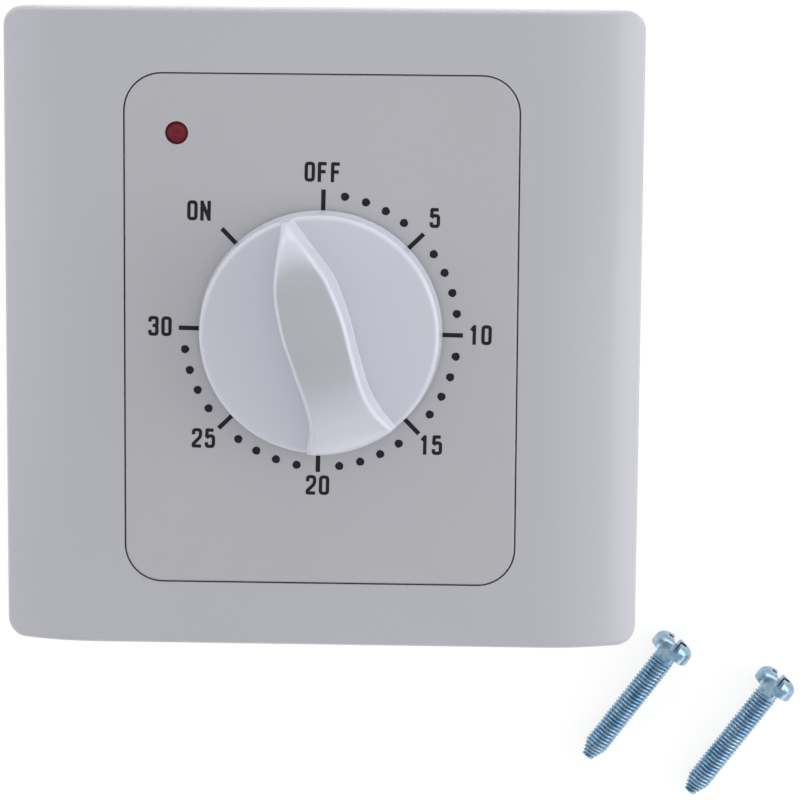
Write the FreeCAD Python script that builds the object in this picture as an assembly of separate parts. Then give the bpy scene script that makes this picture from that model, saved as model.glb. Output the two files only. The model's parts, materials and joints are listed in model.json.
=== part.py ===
import FreeCAD, Part
import math
import os

# Wall-mounted 30-minute countdown timer switch on an 86 mm square plate, in millimetres.
# The origin is on the knob's axis in the wall plane. +Z points out of the face, +Y to 12 o'clock.

# Cover frame
plate_width = 86.0
plate_height = 86.0
plate_corner_radius = 2.6
frame_depth = 9.0
frame_wall = 2.0
frame_edge_round = 0.6
face_flat_half_width = 30.0
frame_side_drop = 3.8
lip_depth = 1.4
lip_wall = 1.5

# Dial panel
panel_width = 52.7
panel_height = 68.7
panel_corner_radius = 5.0
panel_gap = 0.15
panel_thickness = 2.0
panel_skirt_depth = 1.8
panel_skirt_wall = 1.5
panel_edge_round = 0.3
hub_hole_clearance = 0.5
boss_x = 8.0
boss_radius = 2.3

# Base plate behind the frame, with the slots for the two wall screws
base_thickness = 2.2
base_edge_gap = 0.3
base_corner_radius = 1.5
wall_screw_spacing = 60.3
wall_slot_width = 4.5
wall_slot_length = 6.5
spindle_guide_wall = 1.8
spindle_guide_height = 2.4

# Snap tongues of the cover frame, in notches of the base plate
tongue_x = 22.0
tongue_width = 8.0
tongue_thickness = 1.2
tongue_clearance = 0.15
tongue_end_z = 0.5
tongue_root = 0.4

# Knob
knob_base_radius = 16.35
knob_front_radius = 15.95
knob_disc_height = 4.5
knob_panel_gap = 0.3
knob_wall = 1.8
knob_edge_round = 0.75
knob_hub_radius = 5.0
knob_hub_reach = 1.5
knob_hub_overlap = 0.5
fin_height = 7.0
fin_nose_height = 2.2
fin_nose_length = 9.0
fin_tail_height = 1.2
fin_rim_setback = 0.02
fin_top_wall = 3.2
pointer_rest_deg = 16.6
# Places along the pointer from the tip to the wide end, with the fin's half widths there:
# at the foot of its steep left wall, at the foot of its slanted right wall, and at the crest
fin_outline = (
    (16.0, 0.5, 0.85, 0.1),
    (14.6, 1.0, 1.42, 0.56),
    (12.3, 2.0, 2.28, 1.78),
    (9.2, 3.28, 3.48, 3.1),
    (6.8, 3.95, 4.2, 3.78),
    (2.0, 4.4, 4.55, 4.28),
    (-3.1, 4.25, 4.42, 4.13),
    (-8.2, 4.15, 4.42, 3.97),
    (-11.5, 4.6, 5.15, 4.14),
    (-13.5, 5.35, 5.95, 4.68),
    (-16.0, 6.65, 7.15, 5.5),
)

# Spindle
spindle_radius = 3.0
spindle_flat_depth = 0.6
spindle_collar_radius = 4.2
spindle_collar_height = 0.85
spindle_tail = 0.6
running_clearance = 0.05

# Indicator and the neon lamp behind it
lens_x = -19.35
lens_y = 26.45
lens_radius = 1.5
lens_hole_clearance = 0.05
lens_flange_radius = 2.4
lens_flange_thickness = 0.7
lens_dome_height = 0.45
lens_recess = 0.35
lamp_radius = 1.75
lamp_length = 6.0
lamp_nose_reach = 1.1
lamp_lens_gap = 0.55
lamp_seat_gap = 0.05
cradle_wall = 0.8
cradle_length = 2.5
cradle_setback = 1.5
cradle_drop = 0.6
resistor_radius = 1.1
resistor_length = 5.0
resistor_spacing = 3.4
resistor_setback = 0.3
wire_radius = 0.5
wire_bend = 0.84
wire_end_gap = 0.05
wire_turn_gap = 2.2
wire_spacing = 1.6
wire_clamp_inset = 0.4
wire_slot_length = 7.4
wire_slot_width = 1.8
wire_notch_margin = 0.2
wire_notch_side_margin = 1.2

# Rear case, which goes round the movement and the terminals
case_wall = 1.8
case_corner_radius = 3.0
case_flange_thickness = 2.0
case_flange_beyond_screw = 3.75
case_screw_radius = 1.3
case_screw_clearance = 0.15
case_screw_head_radius = 2.2
case_screw_head_height = 1.7
case_screw_pilot_end = 0.6
case_screw_tip_gap = 0.3
case_screw_slot_width = 0.8
case_screw_slot_depth = 0.8
terminal_window_gap = 0.2

# Movement plates, pillars and spacers
movement_plate_thickness = 1.2
front_plate_setback = 7.0
movement_plate_side_gap = 0.7
movement_plate_end_gap = 0.5
movement_plate_side_margin = 2.5
movement_plate_end_margin = 8.2
pillar_x = 20.0
pillar_y = 15.5
pillar_radius = 2.2
pillar_stud_radius = 1.4
pillar_hole_clearance = 0.1
nut_across_flats = 5.0
nut_height = 1.6
stud_beyond_nut = 0.3

# Mainspring, a flat strip wound between the base plate and the front movement plate
spring_strip = 0.35
spring_height = 4.4
spring_pitch = 1.7
spring_turns = 5
spring_bore_gap = 0.3
collet_radius = 3.9
spring_post_radius = 0.9
spring_post_gap = 0.1

# Gear train: modules, teeth and face widths, from the main wheel to the escape wheel
pinion_teeth = 10
main_teeth = 60
main_module = 0.36
second_teeth = 50
second_module = 0.32
third_teeth = 50
third_module = 0.28
tooth_backlash = 0.07
pinion_shift = 0.45
tooth_addendum = 0.9
tooth_dedendum = 1.25
pressure_angle_deg = 20.0
main_wheel_width = 1.2
train_wheel_width = 0.8
pinion_width = 2.0
wheel_level_gap = 2.3
arbor_radius = 0.8
pivot_radius = 0.5
arbor_end_play = 0.15
pivot_end = 0.1
escape_level_gap = 2.0
friction_washer_radius = 5.5
friction_washer_thickness = 0.5
retaining_ring_radius = 4.4
retaining_ring_thickness = 0.6
retaining_ring_mouth = 2.4
second_arbor_deg = 135.0
third_arbor_deg = 20.0
escape_arbor_deg = -20.0

# Escapement
escape_teeth = 24
escape_radius = 5.5
escape_tooth_depth = 1.1
escape_tooth_lean_deg = 4.0
escape_tooth_tip_deg = 1.5
pallet_distance = 9.3
pallet_arbor_deg = -33.0
pallet_pin_radius = 0.35
pallet_pin_gap = 0.3
pallet_pin_spread_deg = 35.0
pallet_arm_half_width = 0.8
pallet_lever_width = 0.6
pallet_lever_gap = 0.4
pallet_pin_end = 0.1
pallet_hub_radius = 1.6
inertia_bar_length = 10.0
inertia_bar_width = 1.6
inertia_bar_thickness = 0.8
inertia_bar_gap = 0.5
inertia_plate_gap = 0.3
inertia_weight_radius = 1.5

# Switch cam and contacts behind the rear movement plate
cam_radius = 7.0
cam_thickness = 2.8
cam_notch_depth = 1.4
cam_notch_half_deg = 9.0
cam_notch_flare_deg = 5.4
cam_plate_gap = 2.4
leaf_thickness = 0.35
leaf_height = 3.2
leaf_cam_gap = 0.35
leaf_bump_radius = 1.0
leaf_length = 27.0
contact_x = 10.0
contact_radius = 1.1
contact_height = 0.8
contact_gap = 0.48
strip_thickness = 0.5
strip_x = 16.5
strip_foot_reach = 2.5
strip_leg_beyond_rivet = 2.0
strip_beyond_leaf = 0.8

# Terminals
terminal_count = 3
terminal_pitch = 12.0
terminal_block_width = 36.0
terminal_block_roof = 0.95
terminal_block_stud_gap = 0.5
terminal_front_wall = 3.0
terminal_setback = 0.2
wire_entry_radius = 1.9
clamp_bore_radius = 1.65
clamp_width = 7.0
clamp_height = 5.8
clamp_length = 7.5
clamp_clearance = 0.1
clamp_thread_depth = 2.2
terminal_screw_radius = 1.45
terminal_screw_head_radius = 2.7
terminal_screw_head_height = 1.6
terminal_screw_clearance = 0.3
terminal_screw_rest_gap = 0.2
terminal_screw_travel = 2.2
terminal_screw_slot_width = 0.8
terminal_screw_slot_depth = 0.8
terminal_screw_recess = 0.85

# The two loose mounting screws, which lie on the surface that the case's back rests on
mounting_screw_radius = 1.75
mounting_screw_length = 20.0
mounting_screw_head_radius = 3.1
mounting_screw_head_height = 2.4
mounting_screw_head_round = 1.3
mounting_screw_point = 2.2
mounting_screw_point_radius = 0.9
mounting_screw_slot = 1.2
mounting_screw_slot_depth = 1.2
mounting_screw_cross_length = 3.1
mounting_screw_places = ((49.5, -52.55, -125.8), (64.85, -57.7, -125.8))

# How far a cutting solid runs past what it cuts
beyond = 1.0

# Levels worked out from the sizes above
panel_back_z = frame_depth - panel_thickness
knob_base_z = frame_depth + knob_panel_gap
knob_front_z = frame_depth + knob_disc_height
spindle_tip_z = knob_front_z + fin_height - fin_top_wall
hub_end_z = frame_depth - knob_hub_reach
front_plate_z = -front_plate_setback
plate_inner_front_z = front_plate_z - movement_plate_thickness
collar_front_z = plate_inner_front_z - arbor_end_play
main_wheel_z = collar_front_z - spindle_collar_height
second_wheel_z = main_wheel_z - main_wheel_width - wheel_level_gap
third_wheel_z = second_wheel_z - train_wheel_width - wheel_level_gap
escape_wheel_z = third_wheel_z - train_wheel_width - escape_level_gap
inertia_bar_z = escape_wheel_z - train_wheel_width - inertia_bar_gap
plate_inner_rear_z = inertia_bar_z - inertia_bar_thickness - inertia_plate_gap
rear_plate_z = plate_inner_rear_z - movement_plate_thickness
cam_front_z = rear_plate_z - cam_plate_gap
cam_back_z = cam_front_z - cam_thickness
spindle_end_z = cam_back_z - spindle_tail
rear_stud_z = rear_plate_z - nut_height - stud_beyond_nut
terminal_block_top_z = rear_stud_z - terminal_block_stud_gap
clamp_low_z = terminal_block_top_z - terminal_block_roof - clamp_height
clamp_bore_z = clamp_low_z + clamp_thread_depth + clamp_bore_radius
terminal_screw_seat_z = clamp_low_z - terminal_screw_travel
case_depth = terminal_screw_head_height + terminal_screw_recess - terminal_screw_seat_z
case_floor_z = -case_depth + case_wall
pilot_end_z = panel_back_z - case_screw_pilot_end

# Outlines worked out from the sizes above
movement_half_width = pillar_x + movement_plate_side_margin
movement_half_height = pillar_y + movement_plate_end_margin
case_width = 2 * (movement_half_width + movement_plate_side_gap + case_wall)
case_height = 2 * (movement_half_height + movement_plate_end_gap + case_wall)
# The case screws are midway between the case's side and the panel's edge
boss_y = (case_height + panel_height) / 4
case_flange_height = 2 * (boss_y + case_flange_beyond_screw)


def point(x, y, z=0.0):
    return FreeCAD.Vector(x, y, z)


def polar(radius, degrees, centre=(0.0, 0.0)):
    angle = math.radians(degrees)
    return (centre[0] + radius * math.cos(angle), centre[1] + radius * math.sin(angle))


def box(x0, x1, y0, y1, z0, z1):
    return Part.makeBox(x1 - x0, y1 - y0, z1 - z0, point(x0, y0, z0))


def rod(radius, z0, z1, x=0.0, y=0.0):
    return Part.makeCylinder(radius, z1 - z0, point(x, y, z0))


def prism(points, z0, z1):
    corners = [point(x, y, z0) for x, y in points]
    outline = Part.makePolygon(corners + corners[:1])
    return Part.Face(outline).extrude(point(0, 0, z1 - z0))


def rounded_outline(width, height, radius, z):
    half_w = width / 2
    half_h = height / 2
    bend = radius * (1 - math.sqrt(0.5))
    edges = []
    for sx, sy, turn in ((1, 1, 1), (-1, 1, -1), (-1, -1, 1), (1, -1, -1)):
        on_side = point(sx * half_w, sy * (half_h - radius), z)
        on_end = point(sx * (half_w - radius), sy * half_h, z)
        middle = point(sx * (half_w - bend), sy * (half_h - bend), z)
        first, last = (on_side, on_end) if turn > 0 else (on_end, on_side)
        edges.append((first, middle, last))
    shapes = []
    for corner, following in zip(edges, edges[1:] + edges[:1]):
        shapes.append(Part.Arc(*corner).toShape())
        shapes.append(Part.LineSegment(corner[2], following[0]).toShape())
    return Part.Wire(shapes)


def rounded_block(width, height, radius, z0, z1):
    outline = rounded_outline(width, height, radius, z0)
    return Part.Face(outline).extrude(point(0, 0, z1 - z0))


def hexagon(across_flats, z0, z1, x, y):
    radius = across_flats / math.sqrt(3)
    return prism([polar(radius, 60 * k, (x, y)) for k in range(6)], z0, z1)


def fused(shapes):
    shapes = list(shapes)
    return shapes[0].fuse(shapes[1:]).removeSplitter()


def four_places(x, y):
    return [(sx * x, sy * y) for sx in (-1, 1) for sy in (-1, 1)]


def wire_along(points, radius, bend):
    """A round wire through the points, with each corner turned on an arc."""
    places = [point(*p) for p in points]
    edges = []
    start = places[0]
    for before, corner, after in zip(places, places[1:], places[2:]):
        back = (before - corner).normalize()
        ahead = (after - corner).normalize()
        half_turn = (math.pi - back.getAngle(ahead)) / 2
        reach = bend * math.tan(half_turn)
        enter = corner + back * reach
        leave = corner + ahead * reach
        inward = (back + ahead).normalize()
        middle = corner + inward * (bend / math.cos(half_turn) - bend)
        edges.append(Part.LineSegment(start, enter).toShape())
        edges.append(Part.Arc(enter, middle, leave).toShape())
        start = leave
    edges.append(Part.LineSegment(start, places[-1]).toShape())
    path = Part.Wire(edges)
    direction = places[1] - places[0]
    section = Part.Wire(Part.Circle(places[0], direction, radius).toShape())
    return path.makePipeShell([section], True, True)


def frame_profile(half_width, inset):
    """The frame's section across its width: a flat face that curves back to both sides."""
    flat = face_flat_half_width
    curve_width = plate_width / 2 - flat
    radius = (curve_width**2 + frame_side_drop**2) / (2 * frame_side_drop) - inset
    top = frame_depth - inset
    centre_z = top - radius
    reach = half_width - flat
    edge_z = centre_z + math.sqrt(radius**2 - reach**2)
    half_angle = math.asin(reach / radius) / 2
    mid_x = flat + radius * math.sin(half_angle)
    mid_z = centre_z + radius * math.cos(half_angle)
    below = -beyond if inset else 0.0
    left_foot = point(-half_width, 0, below)
    left_edge = point(-half_width, 0, edge_z)
    left_top = point(-flat, 0, top)
    right_top = point(flat, 0, top)
    right_edge = point(half_width, 0, edge_z)
    right_foot = point(half_width, 0, below)
    edges = [
        Part.LineSegment(left_foot, left_edge),
        Part.Arc(left_edge, point(-mid_x, 0, mid_z), left_top),
        Part.LineSegment(left_top, right_top),
        Part.Arc(right_top, point(mid_x, 0, mid_z), right_edge),
        Part.LineSegment(right_edge, right_foot),
        Part.LineSegment(right_foot, left_foot),
    ]
    return Part.Wire([edge.toShape() for edge in edges])


def frame_form(width, height, inset, corner):
    """The curved block inside an outline of the frame, as a solid from the wall plane forward."""
    profile = Part.Face(frame_profile(width / 2, inset))
    profile.translate(point(0, -height / 2, 0))
    block = profile.extrude(point(0, height, 0))
    return block.common(rounded_block(width, height, corner, -beyond, frame_depth + beyond))


def front_outline_edges(shape):
    """Edges where the frame's front meets its sides."""
    found = []
    for edge in shape.Edges:
        middle = edge.valueAt((edge.FirstParameter + edge.LastParameter) / 2)
        on_side = abs(abs(middle.x) - plate_width / 2) < plate_corner_radius
        on_end = abs(abs(middle.y) - plate_height / 2) < plate_corner_radius
        upright = edge.BoundBox.ZLength > edge.Length / 2
        if middle.z > 0 and (on_side or on_end) and not upright:
            found.append(edge)
    return found


def tongue(x, side):
    wall_y = side * (plate_height / 2 - frame_wall)
    inner_y = wall_y - side * tongue_thickness
    low, high = sorted((wall_y + side * tongue_root, inner_y))
    half = tongue_width / 2
    return box(x - half, x + half, low, high, tongue_end_z, frame_depth - frame_wall)


def make_cover_frame():
    body = frame_form(plate_width, plate_height, 0.0, plate_corner_radius)
    body = body.makeFillet(frame_edge_round, front_outline_edges(body))
    inner_w = plate_width - 2 * frame_wall
    inner_h = plate_height - 2 * frame_wall
    hollow = frame_form(inner_w, inner_h, frame_wall, plate_corner_radius - frame_wall)
    window_w = panel_width + 2 * panel_gap
    window_h = panel_height + 2 * panel_gap
    window_r = panel_corner_radius + panel_gap
    lip_low = panel_back_z - lip_depth
    lip_w = window_w + 2 * lip_wall
    lip_h = window_h + 2 * lip_wall
    lip = rounded_block(lip_w, lip_h, window_r + lip_wall, lip_low, frame_depth - frame_wall)
    window = rounded_block(window_w, window_h, window_r, -beyond, frame_depth + beyond)
    tongues = [tongue(x, side) for x in (-tongue_x, tongue_x) for side in (-1, 1)]
    return fused([body.cut(hollow), lip] + tongues).cut(window)


def make_dial_panel():
    face = rounded_block(panel_width, panel_height, panel_corner_radius, panel_back_z, frame_depth)
    rim = [e for e in face.Edges if abs(e.BoundBox.ZMin - frame_depth) < 1e-6 and e.BoundBox.ZLength < 1e-6]
    face = face.makeFillet(panel_edge_round, rim)
    skirt_low = panel_back_z - panel_skirt_depth
    skirt = rounded_block(panel_width, panel_height, panel_corner_radius, skirt_low, panel_back_z)
    skirt = skirt.cut(
        rounded_block(
            panel_width - 2 * panel_skirt_wall,
            panel_height - 2 * panel_skirt_wall,
            panel_corner_radius - panel_skirt_wall,
            skirt_low,
            panel_back_z,
        )
    )
    bosses = [rod(boss_radius, base_thickness, panel_back_z, x, y) for x, y in four_places(boss_x, boss_y)]
    panel = fused([face, skirt] + bosses)
    for x, y in four_places(boss_x, boss_y):
        panel = panel.cut(rod(case_screw_radius, base_thickness - beyond, pilot_end_z, x, y))
    low = panel_back_z - beyond
    top = frame_depth + beyond
    panel = panel.cut(rod(knob_hub_radius + hub_hole_clearance, low, top))
    return panel.cut(rod(lens_radius + lens_hole_clearance, low, top, lens_x, lens_y))


def fin_side(sign, height):
    """One side of the fin at a height above the disc, with the places where it starts and ends."""
    share = height / fin_height
    places = []
    for along, left_foot, right_foot, crest in fin_outline:
        foot = right_foot if sign > 0 else left_foot
        places.append(point(sign * (foot + share * (crest - foot)), along, knob_front_z + height))
    curve = Part.BSplineCurve()
    curve.interpolate(places)
    return curve.toShape(), places[0], places[-1]


def fin_section(height):
    right, right_tip, right_end = fin_side(1, height)
    left, left_tip, left_end = fin_side(-1, height)
    tip = Part.LineSegment(left_tip, right_tip).toShape()
    end = Part.LineSegment(right_end, left_end).toShape()
    return Part.Wire([right, end, left, tip])


def falling_arc(start, level, run, drop):
    """An arc that leaves a level line smoothly and falls by drop over run, which may be negative."""
    radius = (run**2 + drop**2) / (2 * drop)
    half_angle = math.asin(run / radius) / 2
    middle = point(start + radius * math.sin(half_angle), level - radius * (1 - math.cos(half_angle)))
    return Part.Arc(point(start, level), middle, point(start + run, level - drop)).toShape()


def fin_crest_block():
    """What lies under the fin's crest: a rising nose, a level middle and a long slope to the wide end."""
    reach = knob_front_radius
    low = knob_front_z - beyond
    nose_z = knob_front_z + fin_nose_height
    crest_z = knob_front_z + fin_height
    tail_z = knob_front_z + fin_tail_height
    level_from = reach - fin_nose_length
    edges = [
        Part.LineSegment(point(-reach, tail_z), point(-reach, low)).toShape(),
        Part.LineSegment(point(-reach, low), point(reach, low)).toShape(),
        Part.LineSegment(point(reach, low), point(reach, nose_z)).toShape(),
        falling_arc(level_from, crest_z, fin_nose_length, crest_z - nose_z),
        Part.LineSegment(point(level_from, crest_z), point(0, crest_z)).toShape(),
        falling_arc(0, crest_z, -reach, crest_z - tail_z),
    ]
    face = Part.Face(Part.Wire(Part.__sortEdges__(edges)))
    face.rotate(point(0, 0), point(1, 0, 0), 90)
    face.rotate(point(0, 0), point(0, 0, 1), 90)
    face.translate(point(-knob_front_radius, 0, 0))
    return face.extrude(point(2 * knob_front_radius, 0, 0))


def make_fin():
    fin = Part.makeLoft([fin_section(-beyond), fin_section(fin_height)], True, True)
    fin = fin.common(fin_crest_block())
    low = knob_front_z - beyond
    top = knob_front_z + fin_height + beyond
    return fin.common(rod(knob_front_radius - fin_rim_setback, low, top))


def spindle_section(radius, z0, z1, flat_depth):
    shaft = rod(radius, z0, z1)
    flat_y = radius - flat_depth
    return shaft.cut(box(-radius, radius, flat_y, radius + beyond, z0, z1))


def make_knob():
    height = knob_front_z - knob_base_z
    drafted = Part.makeCone(knob_base_radius, knob_front_radius, height, point(0, 0, knob_base_z))
    rim = [e for e in drafted.Edges if abs(e.BoundBox.ZMin - knob_front_z) < 1e-6]
    drafted = drafted.makeFillet(knob_edge_round, rim)
    inside = rod(knob_front_radius - knob_wall, knob_base_z - beyond, knob_front_z - knob_wall)
    shell = drafted.cut(inside)
    hub = rod(knob_hub_radius, hub_end_z, knob_front_z - knob_hub_overlap)
    body = fused([shell, hub, make_fin()])
    body = body.cut(spindle_section(spindle_radius, hub_end_z - beyond, spindle_tip_z, spindle_flat_depth))
    body.rotate(point(0, 0), point(0, 0, 1), pointer_rest_deg)
    return body


def make_spindle():
    front = spindle_section(spindle_radius, hub_end_z, spindle_tip_z, spindle_flat_depth)
    shaft = rod(spindle_radius, spindle_end_z, hub_end_z)
    collar = rod(spindle_collar_radius, main_wheel_z, collar_front_z)
    body = fused([shaft, front, collar])
    body.rotate(point(0, 0), point(0, 0, 1), pointer_rest_deg)
    return body


def make_base_plate():
    size_w = plate_width - 2 * frame_wall - 2 * base_edge_gap
    size_h = plate_height - 2 * frame_wall - 2 * base_edge_gap
    low = -beyond
    top = base_thickness + beyond
    plate = rounded_block(size_w, size_h, base_corner_radius, 0.0, base_thickness)
    bore_radius = spindle_radius + running_clearance
    guide_top = base_thickness + spindle_guide_height
    guide = rod(bore_radius + spindle_guide_wall, 0.0, guide_top)
    plate = fused([plate, guide, lamp_cradle()]).cut(rod(bore_radius, low, guide_top + beyond))
    for seat in lamp_seats():
        plate = plate.cut(seat)
    half = wall_slot_width / 2
    run = wall_slot_length / 2 - half
    for side in (-1, 1):
        x = side * wall_screw_spacing / 2
        ends = [rod(half, low, top, x - run), rod(half, low, top, x + run)]
        plate = plate.cut(fused([box(x - run, x + run, -half, half, low, top)] + ends))
    for x, y in four_places(pillar_x, pillar_y):
        plate = plate.cut(rod(pillar_stud_radius + pillar_hole_clearance, low, top, x, y))
    for x, y in four_places(boss_x, boss_y):
        plate = plate.cut(rod(case_screw_radius + case_screw_clearance, low, top, x, y))
    plate = plate.cut(wire_slot(low, top))
    for x in (-tongue_x, tongue_x):
        for side in (-1, 1):
            plate = plate.cut(tongue_notch(x, side))
    return plate


def tongue_notch(x, side):
    half = tongue_width / 2 + tongue_clearance
    inner = side * (plate_height / 2 - frame_wall - tongue_thickness - tongue_clearance)
    outer = side * plate_height / 2
    low, high = sorted((inner, outer))
    return box(x - half, x + half, low, high, -beyond, base_thickness + beyond)


def wire_slot_places():
    """Where the two lamp wires go through the base plate: beside the lamp and beside the resistor."""
    y = lamp_back_y() - wire_slot_width / 2
    return (lens_x, y), (lens_x + resistor_spacing, y)


def wire_slot(z0, z1):
    (x0, y), (x1, _) = wire_slot_places()
    middle = (x0 + x1) / 2
    half_l = wire_slot_length / 2
    half_w = wire_slot_width / 2
    return box(middle - half_l, middle + half_l, y - half_w, y + half_w, z0, z1)


def make_indicator_lens():
    barrel_top = frame_depth - lens_recess
    flange = rod(lens_flange_radius, panel_back_z - lens_flange_thickness, panel_back_z, lens_x, lens_y)
    barrel = rod(lens_radius, panel_back_z - lens_flange_thickness, barrel_top, lens_x, lens_y)
    ball_radius = (lens_radius**2 + lens_dome_height**2) / (2 * lens_dome_height)
    ball = Part.makeSphere(ball_radius, point(lens_x, lens_y, barrel_top + lens_dome_height - ball_radius))
    dome = ball.common(rod(lens_radius, barrel_top, barrel_top + lens_dome_height + beyond, lens_x, lens_y))
    return fused([flange, barrel, dome])


def lamp_back_y():
    return lens_y + lamp_nose_reach - lamp_length


def lamp_axis_z():
    return panel_back_z - lens_flange_thickness - lamp_lens_gap - lamp_radius


def lamp_cradle():
    """The saddle on the base plate that the lamp and the resistor lie in."""
    x0 = lens_x - lamp_radius - cradle_wall
    x1 = lens_x + resistor_spacing + resistor_radius + cradle_wall
    y0 = lamp_back_y() + cradle_setback
    return box(x0, x1, y0, y0 + cradle_length, 0.0, lamp_axis_z() - cradle_drop)


def lamp_seats():
    """The room for the lamp and the resistor in the base plate and its saddle."""
    start = lamp_back_y() - lamp_seat_gap
    seats = []
    for x, radius in ((lens_x, lamp_radius), (lens_x + resistor_spacing, resistor_radius)):
        foot = point(x, start, lamp_axis_z())
        length = lamp_length + 2 * lamp_seat_gap
        seats.append(Part.makeCylinder(radius + lamp_seat_gap, length, foot, point(0, 1, 0)))
    return seats


def make_neon_lamp():
    z = lamp_axis_z()
    back_y = lamp_back_y()
    straight = lamp_length - lamp_radius
    body = Part.makeCylinder(lamp_radius, straight, point(lens_x, back_y, z), point(0, 1, 0))
    nose = Part.makeSphere(lamp_radius, point(lens_x, back_y + straight, z))
    return fused([body, nose])


def make_resistor():
    back_y = lamp_back_y()
    start = point(lens_x + resistor_spacing, back_y + resistor_setback, lamp_axis_z())
    return Part.makeCylinder(resistor_radius, resistor_length, start, point(0, 1, 0))


def make_lamp_wires():
    """Two insulated wires from the lamp and its resistor, through the base plate, to two terminals."""
    (lamp_x, slot_y), (res_x, _) = wire_slot_places()
    back_y = lamp_back_y()
    clamp_y = clamp_inner_y() + wire_end_gap
    first_turn_y = clamp_inner_y() + wire_turn_gap
    second_turn_y = first_turn_y + wire_spacing
    low_z = clamp_low_z + wire_radius + wire_clamp_inset
    first_x, second_x = terminal_places()[:2]
    lamp_wire = wire_along(
        [
            (lamp_x, back_y, lamp_axis_z()),
            (lamp_x, slot_y, lamp_axis_z()),
            (lamp_x, slot_y, low_z),
            (lamp_x, first_turn_y, low_z),
            (first_x, first_turn_y, low_z),
            (first_x, clamp_y, low_z),
        ],
        wire_radius,
        wire_bend,
    )
    resistor_wire = wire_along(
        [
            (res_x, back_y + resistor_setback, lamp_axis_z()),
            (res_x, slot_y, lamp_axis_z()),
            (res_x, slot_y, low_z),
            (res_x, second_turn_y, low_z),
            (second_x, second_turn_y, low_z),
            (second_x, clamp_y, low_z),
        ],
        wire_radius,
        wire_bend,
    )
    return Part.makeCompound([lamp_wire, resistor_wire])


def make_rear_case():
    body = rounded_block(case_width, case_height, case_corner_radius, -case_depth, 0.0)
    flange = rounded_block(case_width, case_flange_height, case_corner_radius, -case_flange_thickness, 0.0)
    inside = rounded_block(
        case_width - 2 * case_wall,
        case_height - 2 * case_wall,
        case_corner_radius - case_wall,
        case_floor_z,
        beyond,
    )
    case = fused([body, flange]).cut(inside)
    hole_radius = case_screw_radius + case_screw_clearance
    for x, y in four_places(boss_x, boss_y):
        case = case.cut(rod(hole_radius, -case_flange_thickness - beyond, beyond, x, y))
    half = terminal_block_width / 2 + terminal_setback
    outer_y = -case_height / 2
    top_z = terminal_block_top_z + terminal_window_gap
    window = box(-half, half, outer_y - beyond, outer_y + case_wall, case_floor_z, top_z)
    case = case.cut(window)
    for x in terminal_places():
        case = case.cut(terminal_well(x, -case_depth - beyond, case_floor_z + beyond))
    return case


def make_case_screws():
    screws = []
    for x, y in four_places(boss_x, boss_y):
        head_z = -case_flange_thickness
        head_end = head_z - case_screw_head_height
        head = rod(case_screw_head_radius, head_end, head_z, x, y)
        half_w = case_screw_slot_width / 2
        half_l = case_screw_head_radius + beyond
        slot_z = head_end + case_screw_slot_depth
        slot = box(x - half_w, x + half_w, y - half_l, y + half_l, head_end, slot_z)
        shank = rod(case_screw_radius, head_z, pilot_end_z - case_screw_tip_gap, x, y)
        screws.append(fused([head, shank]).cut(slot))
    return Part.makeCompound(screws)


def movement_outline(z0, z1):
    half_w = movement_half_width
    half_h = movement_half_height
    plate = box(-half_w, half_w, -half_h, half_h, z0, z1)
    _, (x1, y) = wire_slot_places()
    notch_y = y - wire_slot_width / 2 - wire_notch_margin
    corner = box(-case_width, x1 + wire_notch_side_margin, notch_y, case_height, z0 - beyond, z1 + beyond)
    return plate.cut(corner)


def pivot_places():
    return [second_place, third_place, escape_place, pallet_place]


def make_movement_plate(z0):
    z1 = z0 + movement_plate_thickness
    plate = movement_outline(z0, z1)
    low = z0 - beyond
    top = z1 + beyond
    holes = [rod(spindle_radius + running_clearance, low, top)]
    for x, y in pivot_places():
        holes.append(rod(pivot_radius + running_clearance, low, top, x, y))
    for x, y in four_places(pillar_x, pillar_y):
        holes.append(rod(pillar_stud_radius + pillar_hole_clearance, low, top, x, y))
    for hole in holes:
        plate = plate.cut(hole)
    return plate


def make_front_movement_plate():
    plate = make_movement_plate(plate_inner_front_z)
    x, y = spring_post_place()
    return plate.cut(rod(spring_post_radius, plate_inner_front_z - beyond, front_plate_z + beyond, x, y))


def make_pillars():
    pillars = []
    front_end = base_thickness + nut_height + stud_beyond_nut
    for x, y in four_places(pillar_x, pillar_y):
        body = rod(pillar_radius, plate_inner_rear_z, plate_inner_front_z, x, y)
        stud = rod(pillar_stud_radius, rear_stud_z, front_end, x, y)
        pillars.append(fused([body, stud]))
    return Part.makeCompound(pillars)


def make_spacers():
    tubes = []
    for x, y in four_places(pillar_x, pillar_y):
        tube = rod(pillar_radius, front_plate_z, 0.0, x, y)
        bore = rod(pillar_stud_radius + pillar_hole_clearance, front_plate_z - beyond, beyond, x, y)
        tubes.append(tube.cut(bore))
    return Part.makeCompound(tubes)


def make_pillar_nuts():
    nuts = []
    for x, y in four_places(pillar_x, pillar_y):
        for z in (base_thickness, rear_plate_z - nut_height):
            nut = hexagon(nut_across_flats, z, z + nut_height, x, y)
            nuts.append(nut.cut(rod(pillar_stud_radius, z - beyond, z + nut_height + beyond, x, y)))
    return Part.makeCompound(nuts)


def spring_start_radius():
    return collet_radius + spring_bore_gap


def spring_end_radius():
    return spring_start_radius() + spring_pitch * spring_turns


def half_turn(centre_x, radius, upper, z):
    top = radius if upper else -radius
    start = point(centre_x - top, 0, z)
    end = point(centre_x + top, 0, z)
    return Part.Arc(start, point(centre_x, top, z), end).toShape()


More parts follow.
